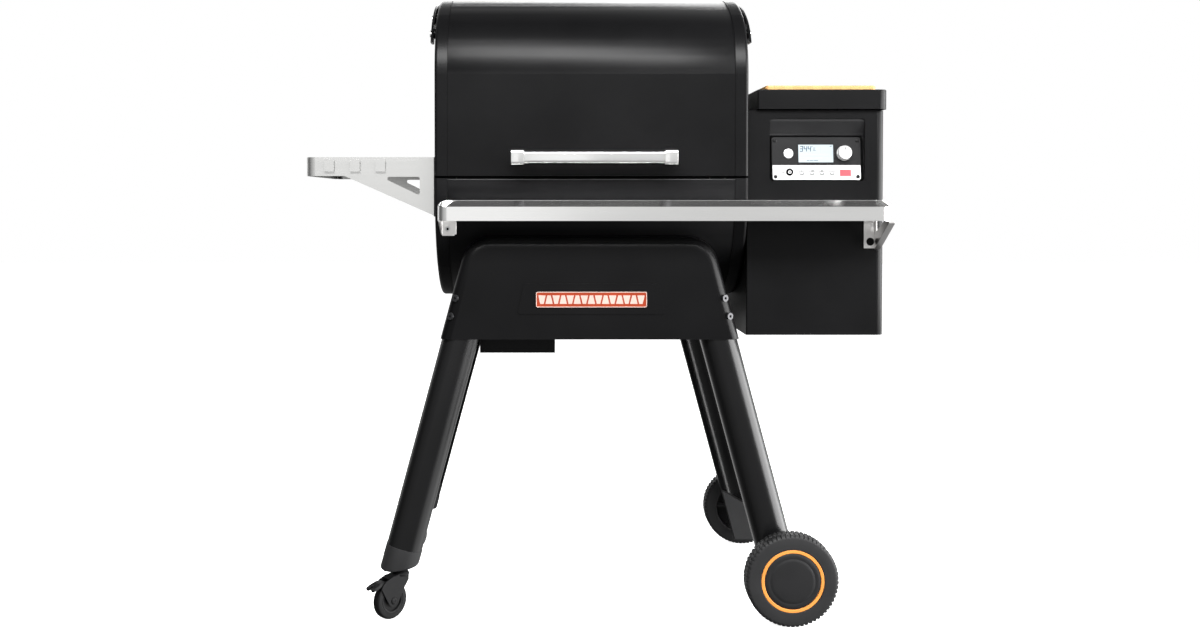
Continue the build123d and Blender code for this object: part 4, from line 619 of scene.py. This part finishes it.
def make_casters():
    """Swivel casters: forked yoke with its race, roller and brake pedal."""
    cheek = [(57.5, 66.5), (38.5, 32.0), (27.0, 22.5), (15.5, 32.0), (2.5, 56.0), (-11.5, 74.0)]
    cheek += [(-11.5, 87.5), (14.0, 87.8), (30.0, 85.6), (44.0, 80.5), (53.0, 74.0)]
    cheek = rounded(cheek, [3.0, 9.0, 8.0, 9.0, 12.0, 5.0, 3.0, 8.0, 14.0, 14.0, 5.0], 5)
    roof = [(-11.3, 78.0), (-11.0, 85.0), (-9.0, 87.6), (0.0, 87.8), (10.0, 87.8)]
    roof += [(20.0, 87.2), (29.0, 85.6), (37.0, 83.0)]
    axle_head = [(0, 14.9), (3.0, 14.9), (3.2, 15.3), (5.4, 15.0), (6.6, 14.0), (6.8, 12.7), (4.0, 12.7)]
    wheel = [
        (4.4, -8.6), (9.5, -8.6), (10.2, -8.0), (10.6, -5.6), (20.5, -5.0), (22.0, -8.4), (23.0, -8.8),
        (24.6, -8.8), (25.2, -8.2), (25.8, -8.2), (26.4, -9.0), (33.6, -9.0), (35.6, -8.3), (36.9, -6.6),
        (37.4, -4.0), (37.5, 0.0), (37.4, 4.0), (36.9, 6.6), (35.6, 8.3), (33.6, 9.0), (26.4, 9.0),
        (25.8, 8.2), (25.2, 8.2), (24.6, 8.8), (23.0, 8.8), (22.0, 8.4), (20.5, 5.0), (10.6, 5.6),
        (10.2, 8.0), (9.5, 8.6), (4.4, 8.6),
    ]
    for side, end in ((-1, "front"), (1, "rear")):
        place = caster_place(side)
        cheeks = [slab(cheek, low, low + 2.4) for low in (-12.8, 10.4)]
        heads = [moved(spun(axle_head, 32), Matrix.Translation((27.0, 37.5, 0)))]
        flip = Matrix.Translation((27.0, 37.5, 0)) @ Matrix.Rotation(pi, 4, "X")
        heads.append(moved(spun(axle_head, 32), flip))
        pin = spun([(0, -10.4), (3.9, -10.4), (3.9, 10.4), (0, 10.4)], 24)
        heads.append(moved(pin, Matrix.Translation((27.0, 37.5, 0))))
        race = [(0, 83.0), (15.5, 83.0), (17.8, 84.6), (17.8, 87.4), (16.4, 88.6), (16.4, 89.6)]
        race += [(14.6, 91.9), (6.0, 91.9)]
        race += [(6.0, 125.0), (5.0, 126.0), (0, 126.0)]
        fork = join(*cheeks, sheet_bend(roof, 2.4, 10.6), *heads, upright(race, 48))
        piece(f"{end}_caster_fork", moved(fork, place), "fork_steel", f"caster_{end}",
              [f"{end}_caster_yoke"], soft=0.5)
        hub = moved(spun(wheel, 96, closed=True), Matrix.Translation((27.0, 37.5, 0)))
        piece(f"{end}_caster_roller", moved(hub, place), "caster_tyre", f"caster_wheel_{end}",
              [f"{end}_caster_wheel"], angle=40)
        path = [(44.5, 79.0), (49.0, 79.6), (56.0, 78.6), (62.0, 76.4), (68.0, 74.0), (72.0, 72.6)]
        pedal = sheet_bend(path, 6.5, [8.6, 9.6, 10.8, 11.8, 12.2, 12.2])
        prongs = []
        for mid, half in ((-7.6, 4.6), (7.6, 4.6)):
            line = [(71.0, 73.0), (75.0, 71.4), (78.0, 70.2), (79.5, 69.6)]
            tip = sheet_bend(line, 5.5, [half, half, half - 0.6, half - 2.0])
            prongs.append(moved(tip, Matrix.Translation((0, 0, mid))))
        ears = [(44.5, 78.6), (58.0, 77.6), (56.0, 71.5), (50.5, 69.6), (46.0, 71.2)]
        ears = [slab(rounded(ears, [1.5, 2, 3, 3, 3], 4), low, low + 2.0) for low in (-9.4, 7.4)]
        grip = []
        for i in range(3):
            near, far = 60.0 + 4.5 * i, 61.4 + 4.5 * i
            ridge = slab([(near, -7.5), (far, -7.5), (far, 7.5), (near, 7.5)], 0, 1.0)
            grip.append(moved(ridge, axes((0, 77.2 - 1.75 * i, 0), (1, 0, 0), (0, 0, -1), (0, 1, 0))))
        lever = join(pedal, *prongs, *ears, *grip)
        piece(f"{end}_caster_pedal", moved(lever, place), "dark_plastic", f"caster_brake_{end}",
              [f"{end}_caster_brake"], soft=0.4)


# ---------------------------------------------------------------- control panel
PANEL_LEAN = radians(7.5)
PANEL_WIDTH = 180.4
PANEL_HEIGHT = 88.3
HOPPER_FRONT = AXIS_Y - 230.0
KNOB = (56.0, 11.0)
MENU = (-56.8, 10.3)
POWER = (-54.8, -27.7)
BAND_TOP = -13.4


def panel_place():
    """Local x to the right, y up the panel, z out of its face."""
    origin = (FRAME_X + 461.0, HOPPER_FRONT + 0.8 + PANEL_HEIGHT / 2 * sin(PANEL_LEAN), 923.7)
    up = (0, sin(PANEL_LEAN), cos(PANEL_LEAN))
    return axes(origin, (1, 0, 0), up, (0, -cos(PANEL_LEAN), sin(PANEL_LEAN)))


def digit(number, x, y, width, height, bar=1.15):
    """Seven-segment digit from thin bars, leaning a little, as flat outlines."""
    shown = {3: "abgcd", 4: "fgbc", 2: "abged", 0: "abcdef", 5: "afgcd"}[number]
    h = height / 2
    spans = {
        "a": (0.4, height - bar, width - 0.4, height), "d": (0.4, 0, width - 0.4, bar),
        "g": (0.4, h - bar / 2, width - 0.4, h + bar / 2), "f": (0, h + 0.3, bar, height - 0.3),
        "b": (width - bar, h + 0.3, width, height - 0.3), "e": (0, 0.3, bar, h - 0.3),
        "c": (width - bar, 0.3, width, h - 0.3),
    }
    out = []
    for key in shown:
        x0, y0, x1, y1 = spans[key]
        corners = [(x0, y0), (x1, y0), (x1, y1), (x0, y1)]
        out.append([(x + u + v * 0.1, y + v) for u, v in corners])
    return out


def bars(spans, low, high):
    """Flat bars on the panel from (left, bottom, right, top) boxes."""
    shapes = []
    for x0, y0, x1, y1 in spans:
        shapes.append(slab([(x0, y0), (x1, y0), (x1, y1), (x0, y1)], low, high))
    return join(*shapes)


def arch(x, y, radius, width, start, end, steps=10):
    """Outline of a band along part of a circle."""
    turns = [radians(start + (end - start) * i / steps) for i in range(steps + 1)]
    outer = [(x + radius * cos(t), y + radius * sin(t)) for t in turns]
    inner = [(x + (radius - width) * cos(t), y + (radius - width) * sin(t)) for t in reversed(turns)]
    return outer + inner


def make_panel():
    """Control panel: plate and its film, screen, knob, keys, icons and label."""
    place = panel_place()
    rim = oblong(PANEL_WIDTH, PANEL_HEIGHT, 5.0)
    holes = [disc(10.3, *MENU), disc(6.5, *POWER), disc(3.4, *KNOB, 24)]
    plate = slab(rim, -4.0, 0.0, holes)
    shoulder = PANEL_HEIGHT / 2 - 1.0
    film = rounded([(-PANEL_WIDTH / 2 + 1, BAND_TOP), (PANEL_WIDTH / 2 - 1, BAND_TOP),
                    (PANEL_WIDTH / 2 - 1, shoulder), (-PANEL_WIDTH / 2 + 1, shoulder)], [0, 0, 4.2, 4.2])
    window = oblong(73.6, 39.3, 2.2, -1.0, 10.5)
    film = slab(film, 0.0, 0.35, [disc(10.5, *MENU), disc(3.4, *KNOB, 24), window])
    piece("panel_face", moved(join(plate, film), place), "panel", "grill", ["panel_plate"], soft=0.3)
    band = rounded([(-PANEL_WIDTH / 2 + 1, -shoulder), (PANEL_WIDTH / 2 - 1, -shoulder),
                    (PANEL_WIDTH / 2 - 1, BAND_TOP), (-PANEL_WIDTH / 2 + 1, BAND_TOP)], [4.2, 4.2, 0, 0])
    piece("panel_band", moved(slab(band, 0.0, 0.4, [disc(6.7, *POWER)]), place), "panel_steel", "grill",
          soft=0.15)
    # Painted shade: a gasket-black ring just behind the panel's edge, standing for the shade in the gap
    # between the panel and the recess walls.
    inside = oblong(PANEL_WIDTH + 0.4, PANEL_HEIGHT + 0.4, 5.0)
    surround = slab(oblong(PANEL_WIDTH + 11, PANEL_HEIGHT + 5, 6.5), -3.4, -2.2, [inside])
    piece("panel_painted_shade_ring", moved(surround, place), "gasket", "grill", soft=0.2)
    screws = []
    head = [(0, 0.8), (1.4, 0.8), (1.7, 1.6), (3.0, 1.45), (3.7, 0.9), (3.8, 0.2), (0, 0.2)]
    for u in (-83.5, 83.5):
        for v in (-37.0, 37.0):
            screws.append(moved(spun(head, 28), Matrix.Translation((u, v, 0))))
    piece("panel_screws", moved(join(*screws), place), "screw_black", "grill", angle=40)

    frame_edge = slab(oblong(73.4, 39.1, 2.1, -1.0, 10.5), 0.0, 0.75, [oblong(70.6, 36.3, 1.2, -1.0, 10.5)])
    piece("screen_frame", moved(frame_edge, place), "panel", "grill", soft=0.15)
    glass = slab(oblong(70.7, 36.4, 1.2, -1.0, 10.5), 0.0, 0.45)
    piece("screen_glass", moved(glass, place), "screen_light", "grill", ["screen"], soft=0.1)
    marks = []
    for i, number in enumerate((3, 4, 4)):
        marks += [slab(bar, 0.45, 0.55) for bar in digit(number, -33.8 + 8.1 * i, 14.4, 6.6, 11.4, 1.5)]
    marks.append(slab(arch(-8.2, 24.6, 1.0, 0.35, 0, 360, 16), 0.45, 0.52))
    lines = [(-6.3, 21.4, -1.6, 22.2), (-6.3, 18.9, -2.6, 19.7), (-6.3, 16.4, -0.8, 17.2)]
    levels = [(27.4, 24.2, 28.2, 25.2), (28.8, 24.2, 29.6, 26.2), (30.2, 24.2, 31.0, 27.2)]
    foot = [(-19.5, -4.6, -14.6, -3.6), (-13.6, -4.6, -6.0, -3.6), (-5.0, -4.6, 3.2, -3.6)]
    marks += [bars(group, 0.45, 0.52) for group in (lines, levels, foot)]
    piece("screen_marks", moved(join(*marks), place), "screen_ink", "grill")
    lines = bars([(8.6, 12.4, 8.85, 27.5), (-35.0, 8.5, 33.4, 8.75), (-35.0, 0.6, 33.4, 0.85)], 0.45, 0.5)
    piece("screen_lines", moved(lines, place), "screen_faint", "grill")

    icons = []
    for u in (-30.1, -9.7, 10.6, 31.0):
        icons.append(slab(arch(u, -28.6, 5.4, 1.9, 190, 350), 0.4, 0.5))
        icons.append(bars([(u - 6.4, -28.2, u + 6.4, -26.4)], 0.4, 0.5))
    tops = [(-31.4, -25.6, -29.2, -23.8), (-11.4, -25.6, -5.0, -23.8), (8.0, -25.6, 13.0, -23.8)]
    icons.append(bars(tops, 0.4, 0.5))
    icons.append(bars([(-70.5, -28.6, -64.5, -26.9)], 0.4, 0.5))
    piece("panel_icons", moved(join(*icons), place), "icon_grey", "grill")
    label = slab(oblong(22.6, 13.4, 0.8, 58.2, -29.3), 0.4, 0.55)
    piece("panel_label", moved(label, place), "label_red", "grill", soft=0.05)

    flutes = []
    for z, grow in ((4.0, 0.0), (12.4, 0.0), (13.8, -0.3), (14.6, -1.0)):
        ring = []
        for i in range(216):
            wave = 0.32 * cos(2 * pi * i * 36 / 216) if z < 13 else 0.0
            r = 13.68 + grow + wave
            ring.append((r * cos(2 * pi * i / 216), r * sin(2 * pi * i / 216), z))
        flutes.append(ring)
    flutes.append([(11.4 * cos(2 * pi * i / 216), 11.4 * sin(2 * pi * i / 216), 14.6) for i in range(216)])
    flutes.append([(10.8 * cos(2 * pi * i / 216), 10.8 * sin(2 * pi * i / 216), 14.2) for i in range(216)])
    grip = loft(flutes)
    skirt = spun([(0, 0.6), (14.6, 0.6), (15.0, 1.0), (15.0, 3.2), (14.4, 4.0), (0, 4.0)], 96)
    stem = spun([(0, -8.0), (3.0, -8.0), (3.0, 1.0), (0, 1.0)], 32)
    pointer = slab(oblong(1.1, 5.0, 0.5, 0, 7.4), 14.2, 14.5)
    knob = moved(join(grip, skirt, stem), Matrix.Translation((*KNOB, 0)))
    piece("dial", moved(knob, place), "knob_steel", "knob", ["control_knob"], angle=40)
    pointer = moved(pointer, Matrix.Translation((*KNOB, 0)))
    piece("dial_pointer", moved(pointer, place), "icon_grey", "knob")

    key = spun([(0, -3.0), (9.8, -3.0), (9.8, 1.6), (9.4, 2.3), (8.6, 2.5), (7.6, 2.2), (0, 1.9)], 72)
    piece("menu_key_cap", moved(moved(key, Matrix.Translation((*MENU, 0))), place), "knob_steel", "menu_key",
          ["menu_button"], angle=40)
    collar = spun([(6.5, 0.3), (7.4, 0.3), (7.4, 0.9), (7.1, 1.2), (6.7, 1.2), (6.5, 1.0)], 56, closed=True)
    collar = moved(collar, Matrix.Translation((*POWER, 0)))
    piece("power_collar", moved(collar, place), "gasket", "grill")
    key = spun([(0, -3.0), (6.0, -3.0), (6.0, 1.5), (5.6, 2.1), (3.6, 2.2), (3.3, 1.9), (0, 1.9)], 56)
    piece("power_key_cap", moved(moved(key, Matrix.Translation((*POWER, 0))), place), "gasket", "power_key",
          ["power_button"], angle=40)
    mark = join(spun([(2.2, 1.9), (3.3, 1.9), (3.3, 2.25), (2.2, 2.25)], 40, closed=True),
                slab(oblong(0.9, 2.0, 0.4, 0, 0.4), 1.9, 2.2))
    mark = moved(mark, Matrix.Translation((*POWER, 0)))
    piece("power_key_mark", moved(mark, place), "knob_steel", "power_key")


# ---------------------------------------------------------------- badge
def make_badge():
    """Orange plate with a pale rim and a row of plain pale marks."""
    low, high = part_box("badge")
    x, z = (low.x + high.x) / 2 / MM, (low.z + high.z) / 2 / MM
    place = axes((x, high.y / MM, z), (1, 0, 0), (0, 0, 1), (0, -1, 0))
    width, height = (high.x - low.x) / MM, (high.z - low.z) / MM
    deep = (high.y - low.y) / MM
    rim = slab(oblong(width, height, 3.6), 0, deep, [oblong(width - 3.0, height - 3.0, 2.4)])
    piece("badge_rim", moved(rim, place), "badge_border", "grill", soft=0.3)
    field = slab(oblong(width - 2.8, height - 2.8, 2.5), 0, deep - 0.5)
    piece("badge_field", moved(field, place), "badge_orange", "grill", ["badge"], soft=0.2)
    marks, tall = [], height / 2 - 7.0
    for i in range(15):
        u, flip = (i - 7) * (width - 24.0) / 14, 1 if i % 2 else -1
        wide_end = [(u - 7.4, -tall * flip), (u + 7.4, -tall * flip)]
        narrow_end = [(u + 3.4, tall * flip), (u - 3.4, tall * flip)]
        marks.append(slab(wide_end + narrow_end, deep - 0.5, deep - 0.2))
    piece("badge_marks", moved(join(*marks), place), "badge_border", "grill", soft=0.08)


def make_shelf_screws():
    """Socket screws of the front shelf's brackets: one bright and countersunk, one dark with a washer."""
    bright = [(0, 0.6), (2.4, 0.6), (2.6, 2.2), (4.0, 2.4), (5.2, 1.9), (5.5, 0.9)]
    bright = spun(bright + [(5.5, -5.0), (0, -5.0)], 48)
    hole = spun([(0, 0.9), (2.5, 0.9), (2.5, 0.62), (0, 0.62)], 32)
    dark = [(0, 0.9), (2.2, 0.9), (2.4, 2.4), (4.6, 2.3), (5.2, 1.2), (5.6, 0.9), (7.4, 0.8), (8.0, 0.3)]
    dark = spun(dark + [(8.0, -2.4), (3.0, -2.4), (3.0, -5.0), (0, -5.0)], 48)
    left = axes((FRAME_X - 284.4, AXIS_Y - 265.5 - 2.5, 782), (1, 0, 0), (0, 0, 1), (0, -1, 0))
    right = axes((FRAME_X + 569.0, HOPPER_FRONT - 2.5, 755.5), (1, 0, 0), (0, 0, 1), (0, -1, 0))
    piece("shelf_screw_left", moved(bright, left), "knob_steel", "grill", ["shelf_screws"])
    # Painted shade: a black disc on the floor of the bright screw's socket, standing for the shade inside
    # the recess.
    piece("left_screw_socket_painted_shade", moved(hole, left), "gasket", "grill")
    piece("shelf_screw_right", moved(dark, right), "screw_black", "grill", ["shelf_screws"])


def make_handle():
    """Square-section bar with rounded edges between two thicker sleeves, on two posts."""
    low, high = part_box("lid_handle")
    left, right, sleeve = low.x / MM, high.x / MM, 25.5
    y, z, back = low.y / MM + 14.75, 924.0, high.y / MM

    def bar(x0, x1, size, radius, ease_by):
        """Square bar along X with rounded edges and eased ends."""
        rings = []
        for x, inset in ((x0, ease_by), (x0 + ease_by * 0.3, ease_by * 0.3), (x0 + ease_by, 0.0),
                         (x1 - ease_by, 0.0), (x1 - ease_by * 0.3, ease_by * 0.3), (x1, ease_by)):
            outline = oblong(size - 2 * inset, size - 2 * inset, radius - inset, steps=10)
            rings.append([(x, y + u, z + v) for u, v in outline])
        return loft(rings)

    shapes = [bar(left, left + sleeve, 29.5, 6.0, 0.8), bar(right - sleeve, right, 29.5, 6.0, 0.8),
              bar(left + sleeve - 1.0, right - sleeve + 1.0, 23.6, 5.5, 0.1)]
    posts = []
    for x in (left + sleeve / 2, right - sleeve / 2):
        post = spun([(0, 0), (10.0, 0), (10.0, back - y), (0, back - y)], 48)
        posts.append(moved(post, axes((x, y, z), (1, 0, 0), (0, 0, -1), (0, 1, 0))))
    piece("handle_bar", join(*shapes), "stainless_x", "lid", ["lid_handle"])
    piece("handle_posts", join(*posts), "bolt_black", "lid")


def make_seam():
    """Dark strip along the body's front edge, a painted shadow for the lid gap, over a thin pressed bead
    whose lighter grey is a painted highlight.
    """
    ends = (FRAME_X - 284.0, FRAME_X + 290.0)
    front = AXIS_Y - 264.0
    lip = [(front, 881.8), (front + 2.0, 881.8), (front + 2.0, 883.3)]
    lip += [(front - 0.25, 883.3), (front - 0.25, 881.8)]
    bead = [(front + 1.0, 880.3)]
    bead += [(front - 0.7 * sin(pi * k / 8), 880.3 + 1.4 * k / 8) for k in range(9)] + [(front + 1.0, 881.7)]
    # The gasket-black strip is painted shadow in the lid gap; the bead's lighter grey is a painted highlight
    # on the body's top edge.
    for name, section, look in (("seam_painted_shadow", lip, "gasket"), ("seam_painted_highlight", bead, "painted_highlight_grey")):
        rings = [[(x, y, z) for y, z in section] for x in ends]
        piece(name, loft(rings), look, "grill")


make_wheels()
make_legs()
make_seam()
make_handle()
make_casters()
make_panel()
make_badge()
make_shelf_screws()

EASED = (
    "apron_front", "apron_rear", "body_shell", "lid_shell", "hopper_body", "hopper_lid",
    "serving_board", "front_shelf_brackets", "grease_box", "exhaust_hood", "control_bezel",
    "shelf_mounts", "hinge_arms", "hinge_brackets",
)
for name in EASED:
    weld = nodes[name].modifiers.new("weld", "WELD")
    weld.merge_threshold = 0.00001
    ease(nodes[name], 0.5, 35.0)


# ---------------------------------------------------------------- studio
def floor():
    """Wide, plain, pale floor, which only the camera and shadows see."""
    mesh = bpy.data.meshes.new("floor")
    half = 14.0
    corners = [(-half, -half, 0), (half, -half, 0), (half, half, 0), (-half, half, 0)]
    mesh.from_pydata(corners, [], [(0, 1, 2, 3)])
    obj = bpy.data.objects.new("floor", mesh)
    bpy.context.scene.collection.objects.link(obj)
    mat, _, _, bsdf = shader("floor", (0.86, 0.86, 0.86), 0.0, 0.7, 0.1)
    bsdf.inputs["Emission Color"].default_value = (1, 1, 1, 1)
    bsdf.inputs["Emission Strength"].default_value = 0.9
    mesh.materials.append(mat)
    obj.visible_glossy = False
    obj.visible_diffuse = False


def span(n, links, value):
    """A direction's -1..1 component as 0..1."""
    node = n.new("ShaderNodeMapRange")
    node.inputs["From Min"].default_value = -1
    node.inputs["From Max"].default_value = 1
    links.new(value, node.inputs["Value"])
    return node.outputs["Result"]


def greys(n, links, value, stops):
    """Ramp through (position, grey) stops."""
    return ramp(n, links, value, [(place, (grey,) * 3) for place, grey in stops])


def blended(n, links, kind, first, second):
    """Two colours multiplied or added."""
    node = n.new("ShaderNodeMix")
    node.data_type = "RGBA"
    node.blend_type = kind
    node.inputs["Factor"].default_value = 1.0
    links.new(first, node.inputs[6])
    links.new(second, node.inputs[7])
    return node.outputs[2]


def softbox(name, place, target, size, power):
    """Rectangular studio light aimed at a point."""
    light = bpy.data.lights.new(name, "AREA")
    light.shape = "RECTANGLE"
    light.size, light.size_y = size
    light.energy = power
    obj = bpy.data.objects.new(name, light)
    obj.location = place
    aim = Vector(target) - Vector(place)
    obj.rotation_euler = aim.to_track_quat("-Z", "Y").to_euler()
    bpy.context.scene.collection.objects.link(obj)


def studio():
    """Soft lights, white surroundings and the camera."""
    scene = bpy.context.scene
    scene.view_settings.view_transform = "Standard"
    softbox("key_top", (0.0, -2.6, 2.8), (0, -0.2, 1.1), (3.6, 1.0), 330)
    softbox("strip_right", (3.0, -0.75, 1.0), (0.2, -0.1, 0.8), (3.4, 2.6), 380)
    softbox("rear_fill", (0.4, 3.4, 2.3), (0, 0.2, 0.7), (3.2, 1.4), 70)
    softbox("strip_left", (-3.2, 1.9, 1.2), (-0.2, 0, 0.7), (0.5, 2.6), 5)
    softbox("front_fill", (-1.0, -5.0, 0.7), (0, 0, 0.6), (2.2, 1.6), 4)
    world = bpy.data.worlds.new("surroundings")
    scene.world = world
    world.use_nodes = True
    n = world.node_tree.nodes
    links = world.node_tree.links
    out = n["World Output"]
    seen = n["Background"]
    seen.inputs["Color"].default_value = (1, 1, 1, 1)
    seen.inputs["Strength"].default_value = 1.0
    place = n.new("ShaderNodeTexCoord")
    split = n.new("ShaderNodeSeparateXYZ")
    links.new(place.outputs["Generated"], split.inputs["Vector"])
    depth = span(n, links, split.outputs["Y"])
    rise = span(n, links, split.outputs["Z"])
    across = span(n, links, split.outputs["X"])
    along = greys(n, links, depth, [(0.0, 0.68), (0.2, 0.5), (0.45, 0.1), (0.75, 0.25), (1.0, 0.9)])
    above = greys(n, links, rise, [(0.0, 1.0), (0.35, 0.7), (0.5, 0.95), (0.62, 0.95), (1.0, 0.5)])
    right = greys(n, links, across, [(0.0, 0.0), (0.78, 0.0), (0.9, 2.4), (1.0, 2.4)])
    low = greys(n, links, rise, [(0.0, 1.0), (0.44, 1.0), (0.52, 0.2), (1.0, 0.0)])
    room = blended(n, links, "MULTIPLY", along, above)
    glow = blended(n, links, "MULTIPLY", right, low)
    total = blended(n, links, "ADD", room, glow)
    dim = n.new("ShaderNodeBackground")
    links.new(total, dim.inputs["Color"])
    dim.inputs["Strength"].default_value = 1.0
    pick = n.new("ShaderNodeMixShader")
    path = n.new("ShaderNodeLightPath")
    links.new(path.outputs["Is Camera Ray"], pick.inputs["Fac"])
    links.new(dim.outputs["Background"], pick.inputs[1])
    links.new(seen.outputs["Background"], pick.inputs[2])
    links.new(pick.outputs["Shader"], out.inputs["Surface"])

    camera = bpy.data.cameras.new("camera")
    camera.lens = 38.5
    camera.sensor_width = 36.0
    camera.sensor_fit = "HORIZONTAL"
    camera.shift_x = 0.0542
    camera.shift_y = -0.0735
    camera.clip_end = 60
    obj = bpy.data.objects.new("camera", camera)
    obj.location = (-0.121, -2.8215, 0.840)
    obj.rotation_euler = (radians(90 - 1.2), 0, 0)
    scene.collection.objects.link(obj)
    scene.camera = obj


floor()
studio()
